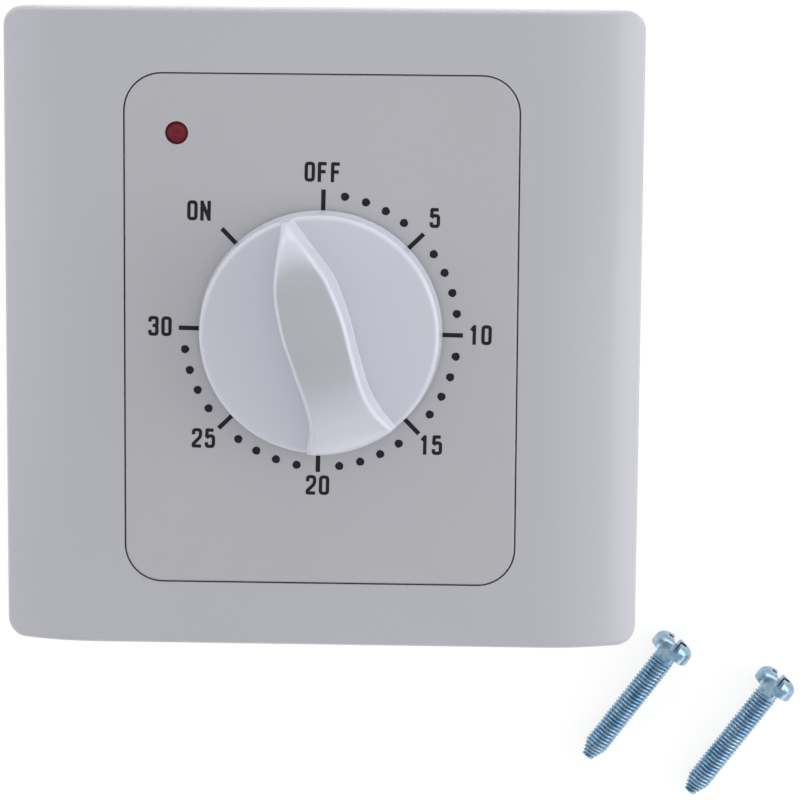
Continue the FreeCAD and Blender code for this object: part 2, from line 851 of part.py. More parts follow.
def make_mainspring():
    """A strip wound in half turns, each centred a quarter pitch to one side, so that it grows evenly."""
    z = spring_low_z()
    inner = []
    outer = []
    step = spring_pitch / 4
    for k in range(2 * spring_turns):
        radius = spring_start_radius() + step * (2 * k + 1)
        centre_x = -step if k % 2 else step
        upper = k % 2 == 0
        inner.append(half_turn(centre_x, radius, upper, z))
        outer.append(half_turn(centre_x, radius + spring_strip, upper, z))
    ends = []
    for vertex_in, vertex_out in ((0, 0), (-1, -1)):
        a = inner[vertex_in].Vertexes[vertex_in].Point
        b = outer[vertex_out].Vertexes[vertex_out].Point
        ends.append(Part.LineSegment(a, b).toShape())
    outline = Part.Wire(Part.__sortEdges__(inner + outer + ends))
    return Part.Face(outline).extrude(point(0, 0, spring_height))


def spring_low_z():
    return front_plate_z + (front_plate_setback - spring_height) / 2


def spring_post_place():
    reach = spring_end_radius() + spring_strip + spring_post_gap + spring_post_radius
    return (-reach, 0.0)


def make_spring_post():
    x, y = spring_post_place()
    return rod(spring_post_radius, plate_inner_front_z, spring_low_z() + spring_height, x, y)


def make_spring_collet():
    z0 = spring_low_z()
    ring = rod(collet_radius, z0, z0 + spring_height)
    bore = rod(spindle_radius, z0 - beyond, z0 + spring_height + beyond)
    return ring.cut(bore)


def involute(angle):
    return math.tan(angle) - angle


def tooth_points(module, teeth, shift):
    """Points up one flank, as radius and half angle of the tooth there."""
    pitch = module * teeth / 2
    pressure = math.radians(pressure_angle_deg)
    base = pitch * math.cos(pressure)
    root = pitch - module * (tooth_dedendum - shift)
    tip = pitch + module * (tooth_addendum + shift)
    half = (math.pi / 2 + 2 * shift * math.tan(pressure)) / teeth - tooth_backlash / 4 / pitch
    start = max(base, root)
    flank = []
    for k in range(4):
        radius = start + (tip - start) * k / 3
        flank.append((radius, half + involute(pressure) - involute(math.acos(base / radius))))
    if root < start:
        flank.insert(0, (root, flank[0][1]))
    return flank


def gear(module, teeth, shift, tooth_deg, centre, z0, z1):
    """A spur gear with the middle of one tooth at the angle tooth_deg."""
    flank = tooth_points(module, teeth, shift)
    outline = []
    for k in range(teeth):
        middle = tooth_deg + 360.0 * k / teeth
        for radius, half in flank:
            outline.append(polar(radius, middle - math.degrees(half), centre))
        for radius, half in reversed(flank):
            outline.append(polar(radius, middle + math.degrees(half), centre))
    return prism(outline, z0, z1)


def wheel(module, teeth, mesh_deg, centre, z_top, width, bore):
    """A wheel with a tooth pointing at the pinion that it drives."""
    body = gear(module, teeth, -pinion_shift, mesh_deg, centre, z_top - width, z_top)
    return body.cut(rod(bore, z_top - width - beyond, z_top + beyond, *centre))


def arbor(centre, z_pinion, module, mesh_deg):
    """A shaft with its pinion, which has a gap where the driving wheel's tooth comes in."""
    low = plate_inner_rear_z + arbor_end_play
    high = plate_inner_front_z - arbor_end_play
    shaft = rod(arbor_radius, low, high, *centre)
    pivots = rod(pivot_radius, rear_plate_z - pivot_end, front_plate_z + pivot_end, *centre)
    gap_deg = mesh_deg + 180.0 + 180.0 / pinion_teeth
    z0 = z_pinion - pinion_width / 2
    pinion = gear(module, pinion_teeth, pinion_shift, gap_deg, centre, z0, z0 + pinion_width)
    return fused([shaft, pivots, pinion])


def centre_distance(module, teeth):
    return module * (teeth + pinion_teeth) / 2


second_place = polar(centre_distance(main_module, main_teeth), second_arbor_deg)
third_place = polar(centre_distance(second_module, second_teeth), third_arbor_deg, second_place)
escape_place = polar(centre_distance(third_module, third_teeth), escape_arbor_deg, third_place)
pallet_place = polar(pallet_distance, pallet_arbor_deg, escape_place)


def make_main_wheel():
    place = (0.0, 0.0)
    top = main_wheel_z
    return wheel(main_module, main_teeth, second_arbor_deg, place, top, main_wheel_width, spindle_radius)


def make_friction_washer():
    top = main_wheel_z - main_wheel_width
    low = top - friction_washer_thickness
    return rod(friction_washer_radius, low, top).cut(rod(spindle_radius, low - beyond, top + beyond))


def make_retaining_ring():
    top = main_wheel_z - main_wheel_width - friction_washer_thickness
    low = top - retaining_ring_thickness
    ring = rod(retaining_ring_radius, low, top).cut(rod(spindle_radius, low - beyond, top + beyond))
    half = retaining_ring_mouth / 2
    return ring.cut(box(-half, half, 0.0, retaining_ring_radius + beyond, low - beyond, top + beyond))


def make_second_wheel():
    top = second_wheel_z
    width = train_wheel_width
    return wheel(second_module, second_teeth, third_arbor_deg, second_place, top, width, arbor_radius)


def make_third_wheel():
    top = third_wheel_z
    width = train_wheel_width
    return wheel(third_module, third_teeth, escape_arbor_deg, third_place, top, width, arbor_radius)


def make_second_arbor():
    return arbor(second_place, main_wheel_z - main_wheel_width / 2, main_module, second_arbor_deg)


def make_third_arbor():
    return arbor(third_place, second_wheel_z - train_wheel_width / 2, second_module, third_arbor_deg)


def make_escape_arbor():
    return arbor(escape_place, third_wheel_z - train_wheel_width / 2, third_module, escape_arbor_deg)


def make_escape_wheel():
    outline = []
    for k in range(escape_teeth):
        root_deg = 360.0 * k / escape_teeth
        tip_deg = root_deg + escape_tooth_lean_deg
        outline.append(polar(escape_radius - escape_tooth_depth, root_deg, escape_place))
        outline.append(polar(escape_radius, tip_deg, escape_place))
        outline.append(polar(escape_radius, tip_deg + escape_tooth_tip_deg, escape_place))
    low = escape_wheel_z - train_wheel_width
    body = prism(outline, low, escape_wheel_z)
    return body.cut(rod(arbor_radius, low - beyond, escape_wheel_z + beyond, *escape_place))


def pallet_pin_places():
    reach = escape_radius + pallet_pin_gap + pallet_pin_radius
    return [polar(reach, pallet_arbor_deg + side * pallet_pin_spread_deg, escape_place) for side in (-1, 1)]


def link(start, end, half_width, z0, z1):
    run_x = end[0] - start[0]
    run_y = end[1] - start[1]
    length = math.hypot(run_x, run_y)
    side_x = -run_y / length * half_width
    side_y = run_x / length * half_width
    corners = [
        (start[0] + side_x, start[1] + side_y),
        (start[0] - side_x, start[1] - side_y),
        (end[0] - side_x, end[1] - side_y),
        (end[0] + side_x, end[1] + side_y),
    ]
    return fused([prism(corners, z0, z1), rod(half_width, z0, z1, *start), rod(half_width, z0, z1, *end)])


def make_pallet_lever():
    z0 = escape_wheel_z + pallet_lever_gap
    z1 = z0 + pallet_lever_width
    arms = [link(pallet_place, pin, pallet_arm_half_width, z0, z1) for pin in pallet_pin_places()]
    lever = fused(arms + [rod(pallet_hub_radius, z0, z1, *pallet_place)])
    lever = lever.cut(rod(arbor_radius, z0 - beyond, z1 + beyond, *pallet_place))
    for pin in pallet_pin_places():
        lever = lever.cut(rod(pallet_pin_radius, z0 - beyond, z1 + beyond, *pin))
    return lever


def make_pallet_pins():
    z0 = escape_wheel_z - train_wheel_width - pallet_pin_end
    z1 = escape_wheel_z + pallet_lever_gap + pallet_lever_width
    return Part.makeCompound([rod(pallet_pin_radius, z0, z1, *pin) for pin in pallet_pin_places()])


def make_pallet_arbor():
    low = plate_inner_rear_z + arbor_end_play
    high = plate_inner_front_z - arbor_end_play
    shaft = rod(arbor_radius, low, high, *pallet_place)
    pivots = rod(pivot_radius, rear_plate_z - pivot_end, front_plate_z + pivot_end, *pallet_place)
    return fused([shaft, pivots])


def make_inertia_bar():
    z1 = inertia_bar_z
    z0 = z1 - inertia_bar_thickness
    across = pallet_arbor_deg + 90.0
    ends = [polar(side * inertia_bar_length / 2, across, pallet_place) for side in (-1, 1)]
    bar = link(ends[0], ends[1], inertia_bar_width / 2, z0, z1)
    weights = [rod(inertia_weight_radius, z0, z1, *end) for end in ends]
    hub = rod(pallet_hub_radius, z0, z1, *pallet_place)
    return fused([bar, hub] + weights).cut(rod(arbor_radius, z0 - beyond, z1 + beyond, *pallet_place))


def make_switch_cam():
    """A disc with a notch that faces the contact leaf when the knob points at OFF."""
    disc = rod(cam_radius, cam_back_z, cam_front_z)
    notch_deg = -90.0
    mouth_deg = cam_notch_half_deg + cam_notch_flare_deg
    corners = [
        polar(cam_radius + beyond, notch_deg - mouth_deg),
        polar(cam_radius - cam_notch_depth, notch_deg - cam_notch_half_deg),
        polar(cam_radius - cam_notch_depth, notch_deg + cam_notch_half_deg),
        polar(cam_radius + beyond, notch_deg + mouth_deg),
    ]
    cam = disc.cut(prism(corners, cam_back_z - beyond, cam_front_z + beyond))
    cam = cam.cut(rod(spindle_radius, cam_back_z - beyond, cam_front_z + beyond))
    cam.rotate(point(0, 0), point(0, 0, 1), pointer_rest_deg)
    return cam


def leaf_front_y():
    return -cam_radius - leaf_cam_gap - leaf_bump_radius


def contact_low_z():
    return (cam_front_z + cam_back_z - leaf_height) / 2


def leaf_start_x():
    return -strip_x + strip_thickness / 2 + running_clearance


def make_moving_contact():
    z0 = contact_low_z()
    z1 = z0 + leaf_height
    y1 = leaf_front_y()
    x0 = leaf_start_x()
    leaf = box(x0, x0 + leaf_length, y1 - leaf_thickness, y1, z0, z1)
    behind = box(-leaf_bump_radius, leaf_bump_radius, y1 - leaf_bump_radius, y1 - leaf_thickness, z0, z1)
    bump = rod(leaf_bump_radius, z0, z1, 0.0, y1).cut(behind)
    return fused([leaf, bump])


def contact_rivet(y, direction):
    z = contact_low_z() + leaf_height / 2
    return Part.makeCylinder(contact_radius, contact_height, point(contact_x, y, z), point(0, direction, 0))


def make_moving_rivet():
    return contact_rivet(leaf_front_y() - leaf_thickness, -1)


def fixed_contact_y():
    return leaf_front_y() - leaf_thickness - 2 * contact_height - contact_gap


def make_fixed_rivet():
    return contact_rivet(fixed_contact_y(), 1)


def make_fixed_contact():
    """The load strip: from its terminal clamp, round to the leg that carries the fixed rivet."""
    z0 = contact_low_z()
    z1 = z0 + leaf_height
    y = fixed_contact_y()
    half = strip_thickness / 2
    foot_y = clamp_inner_y()
    foot_x = terminal_places()[-1] - strip_foot_reach
    foot = box(foot_x, strip_x + half, foot_y, foot_y + strip_thickness, z0, z1)
    rise = box(strip_x - half, strip_x + half, foot_y, y, z0, z1)
    leg = box(contact_x - strip_leg_beyond_rivet, strip_x + half, y - strip_thickness, y, z0, z1)
    return fused([foot, rise, leg])


def make_line_strip():
    """The line strip: from its terminal clamp to the root of the moving leaf."""
    z0 = contact_low_z()
    z1 = z0 + leaf_height
    half = strip_thickness / 2
    foot_y = clamp_inner_y()
    foot_x = terminal_places()[0] + strip_foot_reach
    foot = box(-strip_x - half, foot_x, foot_y, foot_y + strip_thickness, z0, z1)
    rise = box(-strip_x - half, -strip_x + half, foot_y, leaf_front_y() + strip_beyond_leaf, z0, z1)
    return fused([foot, rise])


def terminal_places():
    first = -(terminal_count - 1) / 2 * terminal_pitch
    return [first + k * terminal_pitch for k in range(terminal_count)]


def block_front_y():
    return -case_height / 2 + terminal_setback


def clamp_outer_y():
    return block_front_y() + terminal_front_wall + clamp_clearance


def clamp_inner_y():
    return clamp_outer_y() + clamp_length


def screw_y():
    return clamp_outer_y() + clamp_length / 2


def terminal_well(x, z0, z1):
    return rod(terminal_screw_head_radius + terminal_screw_clearance, z0, z1, x, screw_y())


def make_terminal_block():
    half = terminal_block_width / 2
    front = block_front_y()
    block = box(-half, half, front, clamp_inner_y(), case_floor_z, terminal_block_top_z)
    c = clamp_clearance
    low = clamp_low_z
    for x in terminal_places():
        chamber = box(
            x - clamp_width / 2 - c,
            x + clamp_width / 2 + c,
            front + terminal_front_wall,
            clamp_inner_y() + beyond,
            low - c,
            low + clamp_height + c,
        )
        start = point(x, front - beyond, clamp_bore_z)
        length = terminal_front_wall + 2 * beyond
        entry = Part.makeCylinder(wire_entry_radius, length, start, point(0, 1, 0))
        well = terminal_well(x, case_floor_z - beyond, low)
        block = block.cut(chamber).cut(entry).cut(well)
    return block


def make_terminal_clamps():
    clamps = []
    for x in terminal_places():
        low = clamp_low_z
        half = clamp_width / 2
        body = box(x - half, x + half, clamp_outer_y(), clamp_inner_y(), low, low + clamp_height)
        start = point(x, clamp_outer_y() - beyond, clamp_bore_z)
        bore = Part.makeCylinder(clamp_bore_radius, clamp_length + 2 * beyond, start, point(0, 1, 0))
        thread = rod(terminal_screw_radius + running_clearance, low - beyond, clamp_bore_z, x, screw_y())
        clamps.append(body.cut(bore).cut(thread))
    return Part.makeCompound(clamps)


def make_terminal_screw(x):
    tip = clamp_bore_z - clamp_bore_radius - terminal_screw_rest_gap
    head_top = terminal_screw_seat_z
    y = screw_y()
    shank = rod(terminal_screw_radius, head_top, tip, x, y)
    head = rod(terminal_screw_head_radius, head_top - terminal_screw_head_height, head_top, x, y)
    low = head_top - terminal_screw_head_height
    half_l = terminal_screw_head_radius + beyond
    half_w = terminal_screw_slot_width / 2
    slot = box(x - half_l, x + half_l, y - half_w, y + half_w, low, low + terminal_screw_slot_depth)
    return fused([shank, head]).cut(slot)


def pan_head_screw():
    """A pan head screw along +Z with the head's bearing face at z = 0 and its top below."""
    r = mounting_screw_radius
    head_r = mounting_screw_head_radius
    head_h = mounting_screw_head_height
    shoulder = mounting_screw_length - mounting_screw_point
    head = rod(head_r, -head_h, 0.0)
    crown = [e for e in head.Edges if abs(e.BoundBox.ZMax + head_h) < 1e-6]
    head = head.makeFillet(mounting_screw_head_round, crown)
    shank = rod(r, 0.0, shoulder)
    end = Part.makeCone(r, mounting_screw_point_radius, mounting_screw_point, point(0, 0, shoulder))
    half = mounting_screw_slot / 2
    half_cross = mounting_screw_cross_length / 2
    floor_z = -head_h + mounting_screw_slot_depth
    slot = box(-head_r, head_r, -half, half, -head_h - beyond, floor_z)
    cross = box(-half, half, -half_cross, half_cross, -head_h - beyond, floor_z)
    return fused([head, shank, end]).cut(slot).cut(cross)


def make_mounting_screws():
    """Both screws lie with the head's rim and the threaded point's shoulder on the surface."""
    screws = []
    shoulder = mounting_screw_length - mounting_screw_point
    tilt = math.degrees(math.atan2(mounting_screw_head_radius - mounting_screw_radius, shoulder))
    for x, y, heading in mounting_screw_places:
        screw = pan_head_screw()
        screw.rotate(point(0, 0), point(0, 1, 0), 90 + tilt)
        screw.rotate(point(0, 0), point(0, 0, 1), heading)
        low = screw.BoundBox.ZMin
        screw.translate(point(x, y, -case_depth - low))
        screws.append(screw)
    return Part.makeCompound(screws)


def save(name, shape):
    if not shape.isValid():
        raise ValueError(name + " isn't a valid shape")
    shape.exportStep("parts/" + name + ".step")


PIECES = {
    "cover_frame": make_cover_frame,
    "dial_panel": make_dial_panel,
    "base_plate": make_base_plate,
    "rear_case": make_rear_case,
    "case_screws": make_case_screws,
    "knob": make_knob,
    "spindle": make_spindle,
    "spring_collet": make_spring_collet,
    "mainspring": make_mainspring,
    "spring_post": make_spring_post,
    "front_movement_plate": make_front_movement_plate,
    "rear_movement_plate": lambda: make_movement_plate(rear_plate_z),
    "movement_pillars": make_pillars,
    "movement_spacers": make_spacers,
    "pillar_nuts": make_pillar_nuts,
    "main_wheel": make_main_wheel,
    "friction_washer": make_friction_washer,
    "retaining_ring": make_retaining_ring,
    "second_wheel": make_second_wheel,
    "second_arbor": make_second_arbor,
    "third_wheel": make_third_wheel,
    "third_arbor": make_third_arbor,
    "escape_wheel": make_escape_wheel,
    "escape_arbor": make_escape_arbor,
    "pallet_lever": make_pallet_lever,
    "pallet_pins": make_pallet_pins,
    "pallet_arbor": make_pallet_arbor,
    "inertia_bar": make_inertia_bar,
    "switch_cam": make_switch_cam,
    "moving_contact": make_moving_contact,
    "moving_contact_rivet": make_moving_rivet,
    "line_strip": make_line_strip,
    "fixed_contact": make_fixed_contact,
    "fixed_contact_rivet": make_fixed_rivet,
    "terminal_block": make_terminal_block,
    "terminal_clamps": make_terminal_clamps,
    "indicator_lens": make_indicator_lens,
    "neon_lamp": make_neon_lamp,
    "lamp_resistor": make_resistor,
    "lamp_wires": make_lamp_wires,
    "mounting_screws": make_mounting_screws,
}

os.makedirs("parts", exist_ok=True)
for name, make in PIECES.items():
    save(name, make())
for number, x in enumerate(terminal_places(), start=1):
    save("terminal_screw_" + str(number), make_terminal_screw(x))
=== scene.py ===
# Looks of a wall-mounted 30-minute timer switch, laid on its back with two loose screws beside it.
# Sizes are in millimetres in the CAD model's frame and become metres when a piece is finished.
import json
import math

import bmesh
import bpy
from mathutils import Matrix, Vector
from mathutils.geometry import delaunay_2d_cdt


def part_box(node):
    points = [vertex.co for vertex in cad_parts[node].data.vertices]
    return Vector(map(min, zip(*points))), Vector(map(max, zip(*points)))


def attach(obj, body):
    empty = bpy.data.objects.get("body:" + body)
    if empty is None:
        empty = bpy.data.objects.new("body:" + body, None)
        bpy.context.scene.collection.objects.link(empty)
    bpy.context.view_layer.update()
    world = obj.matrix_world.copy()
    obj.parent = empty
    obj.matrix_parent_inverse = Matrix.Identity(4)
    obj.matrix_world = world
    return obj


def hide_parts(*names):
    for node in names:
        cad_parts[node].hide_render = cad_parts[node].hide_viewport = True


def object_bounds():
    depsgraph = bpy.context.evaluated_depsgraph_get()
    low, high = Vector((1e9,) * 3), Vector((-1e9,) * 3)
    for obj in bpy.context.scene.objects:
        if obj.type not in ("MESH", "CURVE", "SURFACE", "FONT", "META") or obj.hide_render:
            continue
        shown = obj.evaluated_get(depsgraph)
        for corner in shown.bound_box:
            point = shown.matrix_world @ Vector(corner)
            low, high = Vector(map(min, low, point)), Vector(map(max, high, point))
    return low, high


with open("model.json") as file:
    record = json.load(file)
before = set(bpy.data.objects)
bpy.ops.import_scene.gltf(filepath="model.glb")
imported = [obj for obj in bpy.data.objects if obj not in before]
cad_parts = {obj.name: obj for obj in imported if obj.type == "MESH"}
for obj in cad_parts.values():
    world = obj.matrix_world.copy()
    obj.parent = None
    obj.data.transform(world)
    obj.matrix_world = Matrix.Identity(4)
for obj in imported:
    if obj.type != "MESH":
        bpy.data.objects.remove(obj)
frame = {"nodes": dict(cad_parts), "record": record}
cad_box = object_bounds()
nodes = frame["nodes"]
scene = bpy.context.scene
MM = 0.001

# Places shared with the CAD model
panel_z = 9.0
knob_base_z = 9.3
knob_front_z = 13.5
knob_base_radius = 16.35
knob_front_radius = 15.95
knob_wall = 1.8
knob_rim_round = 0.75
knob_lip_round = 0.2
hub_radius = 5.0
hub_end_z = 7.5
spindle_radius = 3.0
spindle_flat_depth = 0.6
spindle_tip_z = 17.3
bore_clearance = 0.03
pointer_rest_deg = 16.6
fin_height = 7.0
fin_reach = 15.93
fin_nose_height = 2.2
fin_nose_length = 9.0
fin_tail_height = 1.2

# The knob's finer shape
knob_face_inset = 0.3
fin_root = 0.8
fin_crown = 0.1
fin_foot_round = 0.12
fin_foot_lift = 0.93
fin_foot_turns = (262, 180)
fin_edge_round = 0.78
fin_nose_edge_round = 0.7
fin_tail_edge_round = 0.8
fin_edge_change = (5.0, 13.0)
fin_edge_of_width = 0.85
fin_edge_of_height = 0.7
fin_nose_end_round = 0.5
fin_tail_end_round = 0.5
# Places along the pointer from the wide end to the tip, with the half widths there:
# at the foot of the steep left wall, at the foot of the slanted right wall, and at the crest
fin_outline = (
    (-16.0, 6.65, 7.15, 5.5),
    (-13.5, 5.35, 5.95, 4.68),
    (-11.5, 4.6, 5.15, 4.14),
    (-8.2, 4.15, 4.42, 3.97),
    (-3.1, 4.25, 4.42, 4.13),
    (2.0, 4.4, 4.55, 4.28),
    (6.8, 3.95, 4.2, 3.78),
    (9.2, 3.28, 3.48, 3.1),
    (12.3, 2.0, 2.28, 1.78),
    (14.6, 1.0, 1.42, 0.56),
    (16.0, 0.5, 0.85, 0.1),
)
# Painted shade: a duller tone is painted on the fin's level crest, setting in between these heights
# above the disc, and between these upward parts of the surface's normal
crest_shade_heights = (3.5, 6.8)
crest_shade_level = (0.86, 0.97)

# Fineness of the knob's mesh
knob_steps = 192
bore_steps = 72
lip_steps = 4
rim_steps = 10
fin_half_stations = 40
fin_columns = 16
fin_foot_steps = 5
fin_wall_shares = (0.3, 0.65, 1.0)
fin_edge_turns = range(12, 91, 13)
fin_wall_rounds = 12

# Printed dial
print_thickness = 0.012
print_overlap = 0.002
print_turn_deg = -0.9
digit_width = 1.4
digit_height = 2.68
stroke_width = 0.46
letter_gap = 0.36
corner_steps = 5
joint_steps = 14
tick_width = 0.6
tick_inner = 16.0
tick_outer = 19.1
tick_spacing_deg = 45
dot_spacing_deg = 9
dot_radius = 0.56
dot_circle = 18.43
dot_ragged = 0.03
dot_steps = 20
word_places = {
    "5": (14.95, 15.68),
    "10": (21.38, 0.13),
    "15": (15.12, -14.98),
    "20": (0.0, -20.89),
    "25": (-15.54, -14.91),
    "30": (-21.63, 0.15),
    "OFF": (-0.13, 21.43),
    "ON": (-16.61, 15.85),
}

# Loose screws; each place is x, y and the heading in degrees
screw_radius = 1.75
screw_root_radius = 1.4
screw_pitch = 0.56
screw_ridge_power = 0.7
screw_runout = 0.5
screw_length = 20.0
screw_point = 2.2
screw_point_radius = 0.9
screw_neck = 0.9
screw_neck_depth = 0.45
screw_head_radius = 3.1
screw_head_height = 2.4
screw_head_round = 1.3
screw_rim_round = 0.15
screw_in_head = 0.2
screw_slot = 1.2
screw_slot_depth = 1.2
screw_cross_length = 3.1
screw_places = ((49.5, -52.55, -125.8), (64.85, -57.7, -125.8))
turn_steps = 40
pitch_steps = 10
head_steps = 72
head_round_steps = 10
head_rim_steps = 3

# All noise, then moulded plastic's flow marks, mottling, dust specks and patches of gloss
noise_roughness = 0.55
flow_size = 24.0
mottle_size = 0.8
mottle_strength = 0.35
mottle_depth = 1.5
speck_cell = 5.0
speck_radius = 0.16
speck_core = 0.6
speck_strength = 0.5
speck_shade = 0.45
gloss_size = 9.0
gloss_spread = 0.05

# Metal: stains and drawn lines
stain_size = 3.5
metal_mottle = 0.08
line_depth = 1.6
line_strength = 0.5
line_relief = 0.006
line_gloss_spread = 0.08

# Red lens, with a painted reflection: a pale ring whose place and width are shares of the radius
lens_place = (-19.35, 26.45)
lens_radius = 1.5
lens_reflection_ring = 0.62
lens_reflection_width = 0.22
lens_reflection_strength = 0.3

# Studio light as strengths: the band near the viewer and past the top edge, the sky's side and top.
# Each change runs between two sines of height, and band_turn between two places towards the top.
band_near = 2.36
band_far = 4.42
band_end = (0.14, 0.3)
band_turn = (-0.3, 0.9)
sky_side = 0.63
sky_top = 0.87
sky_start = (0.2, 0.35)
sky_change = (0.6, 0.9)

# White floor in metres, and its greys: plain for light that it throws on, dim under the glow
floor_reach = 6.0
floor_plain = 0.75
floor_dim = 0.25
floor_glow = 0.8

# The photograph's camera: its turns, its place from the panel's centre, and its lens
camera_turns_deg = (("Z", -0.465), ("X", 8.24), ("Y", -1.8))
camera_offset = (10.645, -9.183, 450.0)
camera_lens = 150.9
camera_sensor = 36.0
camera_clip = (0.01, 20.0)


# Mesh helpers

def placed(name, data):
    """A new object in the scene that holds this mesh, lamp or camera."""
    obj = bpy.data.objects.new(name, data)
    scene.collection.objects.link(obj)
    return obj


def bmesh_object(name, bm):
    mesh = bpy.data.meshes.new(name)
    bmesh.ops.recalc_face_normals(bm, faces=bm.faces)
    bm.to_mesh(mesh)
    bm.free()
    return placed(name, mesh)


def add_grid(bm, rows):
    """Quads between rows of points."""
    verts = [[bm.verts.new(p) for p in row] for row in rows]
    for low, high in zip(verts, verts[1:]):
        for a, b, c, d in zip(low, low[1:], high[1:], high):
            bm.faces.new((a, b, c, d))


def welded(bm, distance):
    bmesh.ops.remove_doubles(bm, verts=bm.verts, dist=distance)
    bmesh.ops.dissolve_degenerate(bm, edges=bm.edges, dist=distance)


def polar(radius, turn, centre=(0.0, 0.0)):
    """The point at this distance and turn, in radians, from a centre."""
    return (centre[0] + radius * math.cos(turn), centre[1] + radius * math.sin(turn))


def arc(centre, radius, start_deg, end_deg, steps):
    """Points of an arc in a plane, both ends included."""
    turns = [start_deg + (end_deg - start_deg) * i / steps for i in range(steps + 1)]
    return [polar(radius, math.radians(turn), centre) for turn in turns]


def lathe(profile, steps):
    """A solid of revolution about Z from (radius, z) pairs that start and end on the axis."""
    bm = bmesh.new()
    turns = [math.tau * i / steps for i in range(steps + 1)]
    add_grid(bm, [[(*polar(r, turn), z) for r, z in profile] for turn in turns])
    welded(bm, distance=1e-5)
    return bm


def raise_faces(bm, faces, height, keep=False):
    """Extrudes faces straight up."""
    grown = bmesh.ops.extrude_face_region(bm, geom=faces, use_keep_orig=keep)
    tops = [v for v in grown["geom"] if isinstance(v, bmesh.types.BMVert)]
    bmesh.ops.translate(bm, verts=tops, vec=(0, 0, height))


def prism(name, outline, z0, z1):
    bm = bmesh.new()
    face = bm.faces.new([bm.verts.new((x, y, z0)) for x, y in outline])
    raise_faces(bm, [face], z1 - z0)
    return bmesh_object(name, bm)


def applied(obj):
    """Puts the modifiers' result in the object's mesh."""
    bpy.context.view_layer.update()
    graph = bpy.context.evaluated_depsgraph_get()
    mesh = bpy.data.meshes.new_from_object(obj.evaluated_get(graph))
    obj.modifiers.clear()
    obj.data = mesh


def combine(obj, other, operation):
    step = obj.modifiers.new("combine", "BOOLEAN")
    step.operation = operation
    step.solver = "EXACT"
    step.object = other
    applied(obj)
    bpy.data.objects.remove(other, do_unlink=True)


def finish_piece(obj, material, body, sharp_deg):
    """Scales a piece to metres, shades it, paints it and lets it ride on its body."""
    obj.data.transform(Matrix.Scale(MM, 4))
    obj.data.materials.clear()
    obj.data.materials.append(material)
    obj.data.shade_smooth()
    obj.data.set_sharp_from_angle(angle=math.radians(sharp_deg))
    even = obj.modifiers.new("even_shading", "WEIGHTED_NORMAL")
    even.keep_sharp = True
    even.weight = 80
    applied(obj)
    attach(obj, body)


# Shader helpers

def linear(r, g, b):
    """A screen colour, 0 to 255, as linear light."""
    values = [c / 255 for c in (r, g, b)]
    light = [c / 12.92 if c <= 0.04045 else ((c + 0.055) / 1.055) ** 2.4 for c in values]
    return (*light, 1.0)


def shade_of(colour, factor):
    return tuple(c * factor for c in colour[:3]) + (1.0,)


def feed(tree, socket, value):
    """Links another node's output to a socket, or sets the socket to a plain value."""
    if isinstance(value, bpy.types.NodeSocket):
        tree.links.new(value, socket)
    else:
        socket.default_value = value


def add_node(tree, kind, inputs=None, **settings):
    """A shader node of this kind with its settings and inputs."""
    node = tree.nodes.new("ShaderNode" + kind)
    for name, value in settings.items():
        setattr(node, name, value)
    for name, value in (inputs or {}).items():
        feed(tree, node.inputs[name], value)
    return node


def calculate(tree, operation, first, second=0.0):
    return add_node(tree, "Math", {0: first, 1: second}, operation=operation).outputs["Value"]


def map_range(tree, value, start, end, low, high, **settings):
    """Brings start to end of a value to low to high, and holds it there beyond."""
    inputs = {"Value": value, "From Min": start, "From Max": end, "To Min": low, "To Max": high}
    return add_node(tree, "MapRange", inputs, **settings).outputs["Result"]


